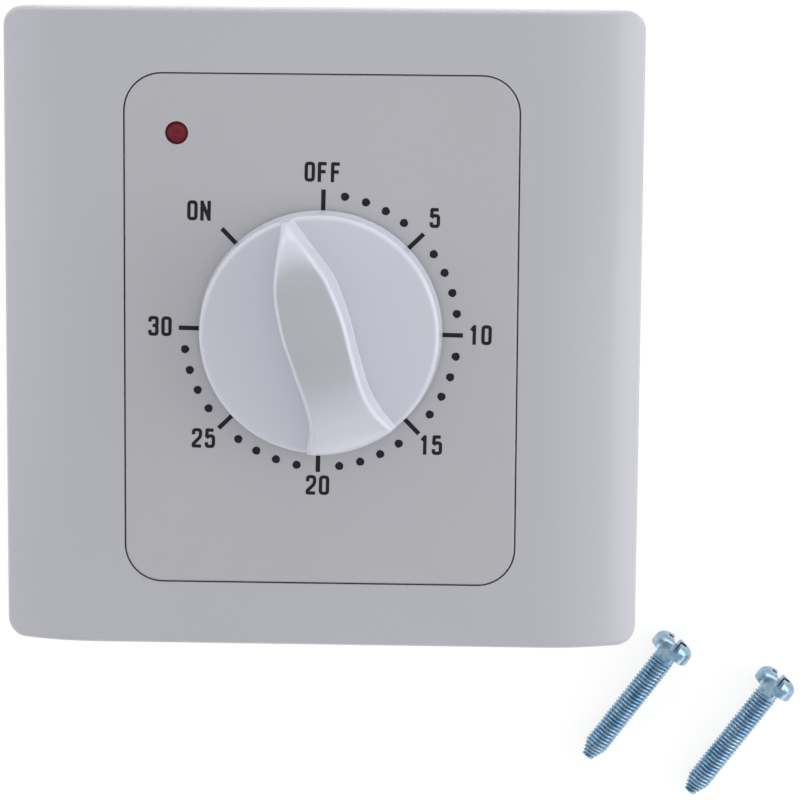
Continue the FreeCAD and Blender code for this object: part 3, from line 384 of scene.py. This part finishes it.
class Paint:
    """Builds one node material around a Principled shader."""

    def __init__(self, name, stretch=(1, 1, 1)):
        self.material = bpy.data.materials.new(name)
        self.material.use_nodes = True
        self.tree = self.material.node_tree
        self.shader = self.tree.nodes["Principled BSDF"]
        place = self.add("TexCoord").outputs
        self.normal = place["Normal"]
        inputs = {"Vector": place["Object"], "Scale": stretch}
        self.place = self.add("Mapping", inputs).outputs["Vector"]

    def add(self, kind, inputs=None, **settings):
        return add_node(self.tree, kind, inputs, **settings)

    def math(self, operation, first, second=0.0):
        return calculate(self.tree, operation, first, second)

    def part(self, vector, axis):
        """One axis of a place or a normal."""
        return self.add("SeparateXYZ", {"Vector": vector}).outputs[axis]

    def ranged(self, value, low, high, start=0.3, end=0.7):
        """A value brought to low to high; most noise lies between 0.3 and 0.7."""
        return map_range(self.tree, value, start, end, low, high)

    def noise(self, size, detail=3.0):
        """Noise whose features are about this many millimetres across."""
        inputs = {"Vector": self.place, "Scale": 1 / (size * MM), "Detail": detail}
        inputs["Roughness"] = noise_roughness
        return self.add("TexNoise", inputs).outputs["Fac"]

    def mixed(self, factor, first, second):
        """A blend of two colours."""
        node = self.add("Mix", {"Factor": factor}, data_type="RGBA")
        colours = [socket for socket in node.inputs if socket.type == "RGBA"]
        for socket, value in zip(colours, (first, second)):
            feed(self.tree, socket, value)
        return next(socket for socket in node.outputs if socket.type == "RGBA")

    def clouded(self, first, second, size, detail=3.0):
        """Soft patches of this size, from one colour to the other."""
        return self.mixed(self.ranged(self.noise(size, detail), 0.0, 1.0), first, second)

    def specks(self, share):
        """1 inside sparse round specks, which lie in this share of the cells."""
        cells = self.add("TexVoronoi", {"Vector": self.place, "Scale": 1 / (speck_cell * MM)})
        start = speck_core * speck_radius / speck_cell
        near = self.ranged(cells.outputs["Distance"], 1.0, 0.0, start, speck_radius / speck_cell)
        split = self.add("SeparateColor", {"Color": cells.outputs["Color"]})
        return self.math("MULTIPLY", near, self.math("LESS_THAN", split.outputs["Red"], share))

    def set(self, **values):
        """Feeds the shader's own sockets; an underscore stands for a space."""
        for key, value in values.items():
            feed(self.tree, self.shader.inputs[key.replace("_", " ")], value)

    def gloss(self, noise, low, high):
        """Roughness that wanders between two values."""
        self.set(Roughness=self.ranged(noise, low, high))

    def bump(self, noise, depth):
        """Relief of this many millimetres."""
        relief = self.add("Bump", {"Distance": depth * MM, "Height": noise})
        self.set(Normal=relief.outputs["Normal"])


# Materials

def crest_shade_share(paint):
    """1 on the fin's level, upward-facing crest, which gets a painted shade, and 0 elsewhere."""
    start, end = [(knob_front_z + height) * MM for height in crest_shade_heights]
    high = paint.ranged(paint.part(paint.place, "Z"), 0.0, 1.0, start, end)
    level = paint.ranged(paint.part(paint.normal, "Z"), 0.0, 1.0, *crest_shade_level)
    return paint.math("MULTIPLY", high, level)


def moulded(
    name, colour, rough, grain_depth=0.004, grain_size=0.5, mottle=0.03, dust=0.02, crest_shade_colour=None
):
    """Moulded plastic with a fine skin; the optional duller colour is painted shade on the knob's
    level crest.
    """
    paint = Paint(name)
    # Painted shade on the knob's level crest, where this mask is 1
    crest_shade_mask = crest_shade_share(paint) if crest_shade_colour else None

    def shade(share):
        plain = shade_of(colour, share)
        return paint.mixed(crest_shade_mask, plain, shade_of(crest_shade_colour, share)) if crest_shade_colour else plain

    flow = paint.clouded(shade(1 - mottle), shade(1 + mottle), flow_size, detail=2.0)
    fine = paint.ranged(paint.noise(mottle_size, detail=2.0), 0.0, mottle_strength)
    skin = paint.mixed(fine, flow, shade(1 - mottle_depth * mottle))
    specks = paint.math("MULTIPLY", paint.specks(dust), speck_strength)
    paint.set(Base_Color=paint.mixed(specks, skin, shade_of(colour, speck_shade)))
    patches = paint.noise(gloss_size, detail=4.0)
    paint.gloss(patches, rough - gloss_spread, rough + gloss_spread)
    paint.bump(paint.noise(grain_size, detail=2.0), grain_depth)
    return paint.material


def metal(name, colour, rough, stretch=(1, 1, 1), grain=0.35, tint=None):
    """Metal with a drawn or rolled grain along the axis that is stretched least."""
    paint = Paint(name, stretch)
    stain = tint or shade_of(colour, 1 - metal_mottle)
    stained = paint.clouded(colour, stain, stain_size, detail=4.0)
    lines = paint.noise(grain)
    line_share = paint.ranged(lines, 0.0, line_strength)
    deep = shade_of(colour, 1 - line_depth * metal_mottle)
    paint.set(Metallic=1.0, Base_Color=paint.mixed(line_share, stained, deep))
    paint.gloss(lines, rough - line_gloss_spread, rough + line_gloss_spread)
    paint.bump(lines, line_relief)
    return paint.material


def lens_paint():
    """Dark red lens with a painted reflection, a faint lighter ring."""
    paint = Paint("lens_red")
    squares = []
    for axis, middle in zip("XY", lens_place):
        off = paint.math("SUBTRACT", paint.part(paint.place, axis), middle * MM)
        squares.append(paint.math("MULTIPLY", off, off))
    radius = paint.math("POWER", paint.math("ADD", *squares), 0.5)
    # The pale ring is a painted reflection
    off_ring = paint.math("SUBTRACT", radius, lens_reflection_ring * lens_radius * MM)
    width = lens_reflection_width * lens_radius * MM
    ring = paint.ranged(paint.math("ABSOLUTE", off_ring), lens_reflection_strength, 0.0, 0.0, width)
    deep = paint.clouded(linear(88, 18, 27), linear(112, 28, 38), size=0.7)
    paint.set(Base_Color=paint.mixed(ring, deep, linear(124, 44, 52)), Specular_IOR_Level=0.2)
    paint.gloss(paint.noise(size=1.2), low=0.12, high=0.22)
    paint.bump(paint.noise(size=0.4), depth=0.004)
    return paint.material


def glass_paint():
    paint = Paint("lamp_glass_look")
    paint.set(Transmission_Weight=0.9, IOR=1.5)
    paint.set(Base_Color=paint.clouded(linear(240, 226, 214), linear(226, 205, 190), size=1.5))
    paint.gloss(paint.noise(size=0.8), low=0.04, high=0.14)
    paint.bump(paint.noise(size=1.0), depth=0.01)
    return paint.material


def ink_paint():
    paint = Paint("dial_ink")
    black = paint.clouded(linear(21, 20, 25), linear(31, 29, 35), size=0.35, detail=4.0)
    paint.set(Base_Color=black, Specular_IOR_Level=0.2)
    paint.gloss(paint.noise(size=0.5), low=0.45, high=0.65)
    paint.bump(paint.noise(size=0.12), depth=0.004)
    return paint.material


def zinc_paint():
    """Bright zinc plate with a blue passivation that goes paler and deeper in patches."""
    paint = Paint("blue_zinc")
    blue = paint.clouded(linear(118, 156, 184), linear(168, 190, 206), size=2.2, detail=4.0)
    spots = paint.ranged(paint.noise(size=0.5), 0.0, 0.6, start=0.5, end=0.75)
    paint.set(Metallic=1.0, Base_Color=paint.mixed(spots, blue, linear(92, 122, 154)))
    paint.gloss(paint.noise(size=0.4), low=0.2, high=0.36)
    paint.bump(paint.noise(size=0.18), depth=0.006)
    return paint.material


looks = {
    "frame_plastic": moulded(
        "frame_gloss", linear(178, 178, 186), 0.22,
        grain_depth=0.0015, grain_size=1.4, mottle=0.012, dust=0.01,
    ),
    "panel_plastic": moulded(
        "panel_satin", linear(176, 175, 181), 0.48,
        grain_depth=0.004, grain_size=0.25, mottle=0.015, dust=0.06,
    ),
    # Painted shade: the knob's level crest is painted a duller, darker tone
    "knob_plastic": moulded(
        "knob_gloss", linear(196, 198, 209), 0.2,
        grain_depth=0.0015, grain_size=1.2, mottle=0.012, dust=0.01, crest_shade_colour=linear(174, 174, 182),
    ),
    "base_plastic": moulded("base_nylon", linear(206, 206, 203), 0.42),
    "case_plastic": moulded(
        "case_satin", linear(196, 196, 193), 0.5, grain_depth=0.01, grain_size=0.4
    ),
    "block_plastic": moulded(
        "block_phenolic", linear(34, 34, 36), 0.42, grain_depth=0.012, grain_size=0.35, mottle=0.2
    ),
    "cam_plastic": moulded("cam_acetal", linear(222, 220, 210), 0.34),
    "lens_plastic": lens_paint(),
    "zinc_steel": zinc_paint(),
    "steel": metal("bright_steel", linear(190, 190, 192), 0.28, stretch=(1, 1, 0.15)),
    "spring_steel": metal(
        "blued_steel", linear(92, 98, 118), 0.3,
        stretch=(0.2, 0.2, 1), grain=0.3, tint=linear(70, 74, 112),
    ),
    "brass": metal(
        "rolled_brass", linear(206, 172, 104), 0.3,
        stretch=(0.12, 1, 1), grain=0.3, tint=linear(190, 150, 88),
    ),
    "contact_silver": metal("silver_rivet", linear(214, 214, 216), 0.26),
    "lamp_glass": glass_paint(),
    "resistor_body": moulded(
        "resistor_lacquer", linear(196, 166, 122), 0.3,
        grain_depth=0.01, grain_size=0.6, mottle=0.08,
    ),
    "wire_insulation": moulded(
        "wire_pvc", linear(96, 52, 42), 0.38, grain_depth=0.006, grain_size=0.6, mottle=0.08
    ),
}


def paint_cad_nodes():
    for part in frame["record"]["subparts"]:
        nodes[part["node"]].material_slots[0].material = looks[part["material_slot"]]


# Knob

def outline_width(along, column):
    """The fin's half width in one column of the outline: a smooth curve through its places."""
    places = fin_outline
    along = max(places[0][0], min(places[-1][0], along))
    i = max(k for k in range(len(places) - 1) if places[k][0] <= along)

    def slope(k):
        low = places[max(k - 1, 0)]
        high = places[min(k + 1, len(places) - 1)]
        return (high[column] - low[column]) / (high[0] - low[0])

    here = places[i]
    ahead = places[i + 1]
    span = ahead[0] - here[0]
    t = (along - here[0]) / span
    level = (2 * t**3 - 3 * t**2 + 1) * here[column] + (3 * t**2 - 2 * t**3) * ahead[column]
    return level + span * ((t**3 - 2 * t**2 + t) * slope(i) + (t**3 - t**2) * slope(i + 1))


def wall_width(side, along, z):
    """The half width on one side, -1 or 1, at a height: the walls are straight in section."""
    foot = outline_width(along, 2 if side > 0 else 1)
    return foot + z / fin_height * (outline_width(along, 3) - foot)


def crest_round(along, height):
    """The radius of the crest's edge, which changes from the middle to the tip and the wide end."""
    start, end = fin_edge_change
    t = min(1.0, max(0.0, (abs(along) - start) / (end - start)))
    far = fin_nose_edge_round if along > 0 else fin_tail_edge_round
    radius = fin_edge_round + (3 * t**2 - 2 * t**3) * (far - fin_edge_round)
    most = fin_edge_of_width * wall_width(-1, along, height)
    return min(radius, most, fin_edge_of_height * height)


def fall(run, drop, past):
    """How far an arc has fallen past its level start, when it falls by drop over run."""
    radius = (run**2 + drop**2) / (2 * drop)
    return radius - math.sqrt(radius**2 - past**2)


def crest_height(along):
    """The fin's height above the disc: a rising nose, a level middle and a long sloping tail."""
    nose_from = knob_front_radius - fin_nose_length
    if along > nose_from:
        return fin_height - fall(fin_nose_length, fin_height - fin_nose_height, along - nose_from)
    if along < 0:
        return fin_height - fall(knob_front_radius, fin_height - fin_tail_height, along)
    return fin_height


def end_drop(x, y):
    """How far the crest falls where it rounds over at the fin's ends."""
    radius = fin_nose_end_round if y > 0 else fin_tail_end_round
    room = max(fin_reach - math.hypot(x, y), 0.0)
    if room >= radius:
        return 0.0
    return radius - math.sqrt(radius**2 - (radius - room) ** 2)


def on_station(station, x):
    """The place along the fin at x, for a station from -1 at the wide end to 1 at the tip."""
    return station * math.sqrt(fin_reach**2 - x**2)


def wall_point(side, station, place):
    """A point of a wall, where place(height, radius) gives its offset from the wall line and its z.

    Its width and its height depend on each other, so it settles over a few rounds.
    """
    x = wall_width(side, station * fin_reach, 0.0)
    for _ in range(fin_wall_rounds):
        along = on_station(station, x)
        height = crest_height(along) - fin_crown - end_drop(x, along)
        offset, z = place(height, crest_round(along, height))
        x = wall_width(side, along, z) + offset
    return (side * x, on_station(station, x), z)


def wall_places():
    """The wall's section from the root to the crest, each place for a height and a crest radius."""
    centre = (fin_foot_round, fin_foot_lift * fin_foot_round)
    foot = arc(centre, fin_foot_round, *fin_foot_turns, fin_foot_steps)
    foot_z = foot[-1][1]
    places = [lambda height, radius: (foot[0][0], -fin_root)]
    places += [lambda height, radius, p=p: p for p in foot]
    for share in fin_wall_shares:
        places.append(
            lambda height, radius, s=share: (0.0, foot_z + s * (height - radius - foot_z))
        )
    for turn in fin_edge_turns:
        inward = 1 - math.cos(math.radians(turn))
        short = 1 - math.sin(math.radians(turn))
        places.append(lambda height, radius, i=inward, s=short: (-i * radius, height - s * radius))
    return places


def across(left, right, k):
    """The x of the fin's column k between two points."""
    return left[0] + k / fin_columns * (right[0] - left[0])


def fin_section(station, places):
    """Rows of points at one station: the left wall, the right wall, the crest and the underside."""
    left = [wall_point(-1, station, place) for place in places]
    right = [wall_point(1, station, place) for place in places]
    crest = []
    floor = []
    for k in range(fin_columns + 1):
        x = across(left[-1], right[-1], k)
        along = on_station(station, x)
        crown = fin_crown * (2 * k / fin_columns - 1) ** 2
        crest.append((x, along, crest_height(along) - crown - end_drop(x, along)))
        x = across(left[0], right[0], k)
        floor.append((x, on_station(station, x), -fin_root))
    return left, right, crest, floor


def end_face(station, left, right, crest):
    """Rows of points across one end face, from the root up to the crest."""
    rows = []
    for low, high in zip(left, right):
        share_up = (low[2] + fin_root) / (left[-1][2] + fin_root)
        row = []
        for k, top in enumerate(crest):
            x = across(low, high, k)
            row.append((x, on_station(station, x), share_up * (top[2] + fin_root) - fin_root))
        rows.append([low, *row[1:-1], high])
    return rows


def fin_mesh():
    """The fin from the root inside the disc, with its two walls, crest, underside and ends."""
    turns = [i / fin_half_stations - 1 for i in range(2 * fin_half_stations + 1)]
    stations = [math.sin(math.pi / 2 * turn) for turn in turns]
    places = wall_places()
    sections = [fin_section(station, places) for station in stations]
    bm = bmesh.new()
    for rows in zip(*sections):
        add_grid(bm, rows)
    for end in (0, -1):
        add_grid(bm, end_face(stations[end], *sections[end][:3]))
    welded(bm, distance=2e-4)
    bmesh.ops.translate(bm, verts=bm.verts, vec=(0, 0, knob_front_z))
    return bmesh_object("fin", bm)


def knob_body():
    """The disc with its rim, the hollow behind it and the hub, without the spindle's bore."""
    lean = math.atan2(knob_base_radius - knob_front_radius, knob_front_z - knob_base_z)
    round_z = knob_front_z - knob_rim_round
    side = knob_base_radius - (round_z - knob_base_z) * math.tan(lean)
    centre = (side - knob_rim_round / math.cos(lean), round_z)
    inner = knob_front_radius - knob_wall
    ceiling_z = knob_front_z - knob_wall
    lip_z = knob_base_z + knob_lip_round
    profile = [(0, hub_end_z), (hub_radius - knob_lip_round, hub_end_z)]
    profile += [(hub_radius, hub_end_z + knob_lip_round), (hub_radius, ceiling_z)]
    profile += [(inner, ceiling_z), (inner, lip_z), (inner + knob_lip_round, knob_base_z)]
    profile += arc((knob_base_radius - knob_lip_round, lip_z), knob_lip_round, 270, 360, lip_steps)
    profile += arc(centre, knob_rim_round, math.degrees(lean), 90, rim_steps)
    profile += [(centre[0] - knob_face_inset, knob_front_z), (0, knob_front_z)]
    return bmesh_object("knob_shell", lathe(profile, knob_steps))


def bore_cutter():
    """The D-shaped bore that the spindle goes into."""
    flat = spindle_radius - spindle_flat_depth + bore_clearance
    reach = spindle_radius + bore_clearance
    half = math.degrees(math.acos(flat / reach))
    outline = arc((0, 0), reach, 90 + half, 450 - half, bore_steps)
    return prism("bore", outline, hub_end_z - 1, spindle_tip_z)


def make_knob():
    knob = knob_body()
    combine(knob, fin_mesh(), "UNION")
    combine(knob, bore_cutter(), "DIFFERENCE")
    knob.data.transform(Matrix.Rotation(math.radians(pointer_rest_deg), 4, "Z"))
    finish_piece(knob, looks["knob_plastic"], "dial", sharp_deg=28.0)
    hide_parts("knob")


# Printed dial

def rounded_path(points, radius, closed=False):
    """A centreline whose corners are turned on short curves."""
    count = len(points)
    path = []
    for i, point in enumerate(points):
        if not closed and i in (0, count - 1):
            path.append(point)
            continue
        here = Vector(point)
        back = Vector(points[i - 1]) - here
        ahead = Vector(points[(i + 1) % count]) - here
        reach = min(radius, back.length / 2, ahead.length / 2)
        start = here + back.normalized() * reach
        end = here + ahead.normalized() * reach
        for k in range(corner_steps + 1):
            t = k / corner_steps
            path.append(tuple(start * (1 - t) ** 2 + here * 2 * t * (1 - t) + end * t**2))
    if closed:
        path.append(path[0])
    return path


def glyph_paths():
    """Centrelines of each character, in a box that reaches w and h from its middle."""
    w = (digit_width - stroke_width) / 2
    h = (digit_height - stroke_width) / 2
    end = h + stroke_width / 2
    round_corner = 0.75 * w
    tight_corner = 0.6 * w
    ring = rounded_path([(-w, -h), (w, -h), (w, h), (-w, h)], round_corner, closed=True)
    two = [(-w, 0.42 * h), (-w, h), (w, h), (w, 0.16 * h), (-w, -0.72 * h)]
    three_top = [(-w, 0.5 * h), (-w, h), (w, h), (w, 0.05 * h), (-0.25 * w, 0.05 * h)]
    three_low = [(-0.25 * w, 0.05 * h), (w, 0.05 * h), (w, -h), (-w, -h), (-w, -0.5 * h)]
    five = [(-0.95 * w, 0.02 * h), (-0.4 * w, 0.28 * h), (w, 0.28 * h)]
    five += [(w, -h), (-w, -h), (-w, -0.5 * h)]
    return {
        "0": [ring],
        "O": [ring],
        "1": [[(-0.62 * w, 0.52 * h), (0.25 * w, h), (0.25 * w, -end)]],
        "2": [rounded_path(two, round_corner) + [(-w, -h), (w + 0.1, -h)]],
        "3": [rounded_path(three_top, tight_corner), rounded_path(three_low, tight_corner)],
        "5": [
            [(w, h), (-0.85 * w, h), (-0.95 * w, 0.08 * h)],
            rounded_path(five, round_corner),
        ],
        "F": [[(w, h), (-w, h), (-w, -end)], [(-w, 0.04 * h), (0.75 * w, 0.04 * h)]],
        "N": [[(-w, -end), (-w, end)], [(-w, h), (w, -h)], [(w, -end), (w, end)]],
    }


def disc(centre, radius):
    return [polar(radius, math.tau * i / joint_steps, centre) for i in range(joint_steps)]


def stroke(path, width):
    """Polygons that cover a line of this width, with round joints and square ends."""
    polygons = []
    for a, b in zip(path, path[1:]):
        a = Vector(a)
        b = Vector(b)
        if (b - a).length < 1e-4:
            continue
        side = (b - a).normalized().orthogonal() * width / 2
        polygons.append([tuple(a + side), tuple(a - side), tuple(b - side), tuple(b + side)])
    joints = path[1:] if path[0] == path[-1] else path[1:-1]
    return polygons + [disc(point, width / 2) for point in joints]


def word(text, x, y):
    """The polygons of a word centred on a place."""
    paths = glyph_paths()
    step = digit_width + letter_gap
    start = x - step * (len(text) - 1) / 2
    polygons = []
    for i, letter in enumerate(text):
        for path in paths[letter]:
            moved = [(start + i * step + px, y + py) for px, py in path]
            polygons += stroke(moved, stroke_width)
    return polygons


def dial_words():
    return [word(text, x, y) for text, (x, y) in word_places.items()]


def dial_ticks():
    """A tick for each word."""
    ticks = []
    for i in range(len(word_places)):
        turn = math.radians(tick_spacing_deg * i)
        ray = Vector((math.cos(turn), math.sin(turn)))
        ticks.append(stroke([tuple(ray * tick_inner), tuple(ray * tick_outer)], tick_width))
    return ticks


def ragged_dot(centre, interval, k):
    """A dot whose edge wanders a little as printed, differently for each place."""
    outline = []
    for i in range(dot_steps):
        turn = math.tau * i / dot_steps
        wave = math.sin(5 * turn + 7 * k + interval) + math.sin(3 * turn + 2 * interval + k)
        outline.append(polar(dot_radius + dot_ragged * wave / 2, turn, centre))
    return outline


def dial_dots():
    """Four dots in each of the six intervals from OFF round to 30."""
    dots = []
    for interval in range(6):
        for k in range(1, 5):
            turn = math.radians(90 - tick_spacing_deg * interval - dot_spacing_deg * k)
            dots.append([ragged_dot(polar(dot_circle, turn), interval, k)])
    return dots


def flat_union(bm, polygons):
    """Adds the union of overlapping polygons as a thin raised print."""
    points = []
    faces = []
    for polygon in polygons:
        first = len(points)
        points += [Vector(p) for p in polygon]
        faces.append(list(range(first, first + len(polygon))))
    inside_only = 1
    places, _, triangles, _, _, covered_by = delaunay_2d_cdt(points, [], faces, inside_only, 1e-5)
    low = [bm.verts.new((p.x, p.y, panel_z - print_overlap)) for p in places]
    made = []
    for triangle, owners in zip(triangles, covered_by):
        if owners:
            made.append(bm.faces.new([low[i] for i in triangle]))
    raise_faces(bm, made, print_thickness + print_overlap, keep=True)


def make_dial_print():
    bm = bmesh.new()
    for polygons in dial_words() + dial_ticks() + dial_dots():
        flat_union(bm, polygons)
    bmesh.ops.delete(bm, geom=[v for v in bm.verts if not v.link_faces], context="VERTS")
    turned = Matrix.Rotation(math.radians(print_turn_deg), 3, "Z")
    bmesh.ops.rotate(bm, verts=bm.verts, cent=(0, 0, 0), matrix=turned)
    piece = bmesh_object("dial_print", bm)
    finish_piece(piece, ink_paint(), "housing", sharp_deg=30.0)


# Loose screws

def thread_radius(turns, z):
    """The surface's radius: rounded ridges on a shank with a plain neck and a tapered point."""
    shoulder = screw_length - screw_point
    outer = screw_radius
    if z > shoulder:
        outer += (screw_point_radius - screw_radius) * (z - shoulder) / screw_point
    ridge = 0.5 + 0.5 * math.cos(math.tau * turns)
    depth = screw_radius - screw_root_radius
    from_neck = min(1.0, max(0.0, (z - screw_neck) / screw_pitch))
    from_tip = min(1.0, max(0.0, (screw_length - z) / (screw_runout * screw_pitch)))
    neck = (1 - from_neck) * screw_neck_depth * depth
    return outer - neck - from_neck * depth * from_tip * (1 - ridge**screw_ridge_power)


def thread_row(i):
    """One turn of the helix from i steps of the pitch below the head, cut off at both ends."""
    row = []
    for k in range(turn_steps + 1):
        turn = k / turn_steps
        z = min(max(screw_pitch * (i / pitch_steps + turn), -screw_in_head), screw_length)
        turns = i / pitch_steps if 0 < z < screw_length else 0
        row.append((*polar(thread_radius(turns, z), math.tau * turn), z))
    return row


def thread_mesh():
    last = int(pitch_steps * screw_length / screw_pitch) + 1
    rows = [thread_row(i) for i in range(-pitch_steps, last + 1)]
    rows.append([(0, 0, screw_length)] * (turn_steps + 1))
    rows.insert(0, [(0, 0, -screw_in_head)] * (turn_steps + 1))
    bm = bmesh.new()
    add_grid(bm, rows)
    welded(bm, distance=1e-4)
    return bmesh_object("thread", bm)


def head_mesh():
    """A pan head whose underside lies at z = 0."""
    top = -screw_head_height
    centre = (screw_head_radius - screw_head_round, top + screw_head_round)
    crown = arc(centre, screw_head_round, 270, 360, head_round_steps)
    centre = (screw_head_radius - screw_rim_round, -screw_rim_round)
    rim = arc(centre, screw_rim_round, 0, 90, head_rim_steps)
    return bmesh_object("screw_head", lathe([(0, top)] + crown + rim + [(0, 0)], head_steps))


def block(name, x, y, z0, z1):
    return prism(name, [(-x, -y), (x, -y), (x, y), (-x, y)], z0, z1)


def lying_mesh(screw, x, y, heading):
    """A copy of the upright screw's mesh, lying on its head's rim and its thread."""
    tilt = math.atan2(screw_head_radius - screw_radius, screw_length - screw_point)
    lying = Matrix.Rotation(math.pi / 2 + tilt, 4, "Y")
    mesh = screw.data.copy()
    mesh.transform(Matrix.Rotation(math.radians(heading), 4, "Z") @ lying)
    lowest = min(v.co.z for v in mesh.vertices)
    floor_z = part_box("mounting_screws")[0].z
    mesh.transform(Matrix.Translation((x, y, floor_z / MM - lowest)))
    return mesh


def make_screws():
    """Both screws as one piece, with a slot and a short cross in each head."""
    screw = head_mesh()
    combine(screw, thread_mesh(), "UNION")
    top = -screw_head_height - 1
    floor_z = screw_slot_depth - screw_head_height
    slot = block("slot", screw_head_radius + 1, screw_slot / 2, top, floor_z)
    combine(screw, slot, "DIFFERENCE")
    cross = block("cross", screw_slot / 2, screw_cross_length / 2, top, floor_z)
    combine(screw, cross, "DIFFERENCE")
    bm = bmesh.new()
    for x, y, heading in screw_places:
        bm.from_mesh(lying_mesh(screw, x, y, heading))
    bpy.data.objects.remove(screw, do_unlink=True)
    pair = bmesh_object("loose_screws", bm)
    finish_piece(pair, looks["zinc_steel"], "housing", sharp_deg=50.0)
    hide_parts("mounting_screws")


# Studio

def make_camera():
    """The photograph's camera: a long lens, nearly square to the face."""
    turned = Matrix.Identity(4)
    for axis, degrees in camera_turns_deg:
        turned = turned @ Matrix.Rotation(math.radians(degrees), 4, axis)
    back = turned.transposed()
    place = back @ Vector(camera_offset) + Vector((0, 0, panel_z))
    lens = bpy.data.cameras.new("photo_camera")
    lens.sensor_width = camera_sensor
    lens.lens = camera_lens
    lens.clip_start, lens.clip_end = camera_clip
    camera = placed("photo_camera", lens)
    camera.matrix_world = Matrix.Translation(place * MM) @ back
    scene.camera = camera


def softbox(name, radiance, azimuth, tilt, distance, size):
    """A square soft lamp, tilt degrees from straight up towards azimuth; lengths in metres."""
    lamp = bpy.data.lights.new(name, "AREA")
    lamp.shape = "RECTANGLE"
    lamp.size = size
    lamp.size_y = size
    lamp.energy = radiance * math.pi * size * size
    a = math.radians(azimuth)
    t = math.radians(tilt)
    towards = Vector((math.sin(t) * math.cos(a), math.sin(t) * math.sin(a), math.cos(t)))
    facing = towards.to_track_quat("Z", "Y").to_matrix().to_4x4()
    obj = placed(name, lamp)
    obj.matrix_world = Matrix.Translation(towards * distance) @ facing
    obj.visible_camera = False


def make_lights():
    softbox("right_softbox", radiance=2.13, azimuth=0, tilt=70, distance=0.5, size=0.35)
    softbox("left_softbox", radiance=0.53, azimuth=170, tilt=60, distance=0.8, size=0.5)


def make_world():
    """A bright band round the horizon, brighter past the top edge, under a dimmer sky."""
    world = bpy.data.worlds.new("studio")
    world.use_nodes = True
    scene.world = world
    tree = world.node_tree
    place = add_node(tree, "TexCoord").outputs["Generated"]
    towards = add_node(tree, "SeparateXYZ", {"Vector": place}).outputs

    def ramp(axis, span, low, high):
        return map_range(tree, towards[axis], *span, low, high, interpolation_type="SMOOTHSTEP")

    band_share = ramp("Z", band_end, 1.0, 0.0)
    band = calculate(tree, "MULTIPLY", band_share, ramp("Y", band_turn, band_near, band_far))
    sky_share = ramp("Z", sky_start, 0.0, 1.0)
    sky = calculate(tree, "MULTIPLY", sky_share, ramp("Z", sky_change, sky_side, sky_top))
    background = tree.nodes["Background"].inputs
    feed(tree, background["Strength"], calculate(tree, "ADD", band, sky))
    feed(tree, background["Color"], (1, 1, 1, 1))


def floor_paint():
    """Pale to the light that falls on it, and white to camera, glossy and transmission rays."""
    material = bpy.data.materials.new("floor_white")
    material.use_nodes = True
    tree = material.node_tree
    tree.nodes.clear()
    rays = add_node(tree, "LightPath").outputs
    seen = calculate(tree, "MAXIMUM", rays["Is Camera Ray"], rays["Is Glossy Ray"])
    seen = calculate(tree, "MAXIMUM", seen, rays["Is Transmission Ray"])
    plain = add_node(tree, "BsdfDiffuse", {"Color": (*[floor_plain] * 3, 1)})
    dim = add_node(tree, "BsdfDiffuse", {"Color": (*[floor_dim] * 3, 1)})
    glow = add_node(tree, "Emission", {"Strength": floor_glow})
    bright = add_node(tree, "AddShader", {0: dim.outputs[0], 1: glow.outputs[0]})
    either = add_node(tree, "MixShader", {0: seen, 1: plain.outputs[0], 2: bright.outputs[0]})
    add_node(tree, "OutputMaterial", {"Surface": either.outputs[0]})
    return material


def make_floor():
    """A white floor that keeps the object's shadow."""
    signs = ((-1, -1), (1, -1), (1, 1), (-1, 1))
    corners = [(x * floor_reach, y * floor_reach, cad_box[0].z) for x, y in signs]
    mesh = bpy.data.meshes.new("floor")
    mesh.from_pydata(corners, [], [(0, 1, 2, 3)])
    mesh.materials.append(floor_paint())
    floor = placed("floor", mesh)


scene.view_settings.view_transform = "Standard"
make_camera()
make_world()
make_lights()
make_floor()
paint_cad_nodes()
make_knob()
make_dial_print()
make_screws()
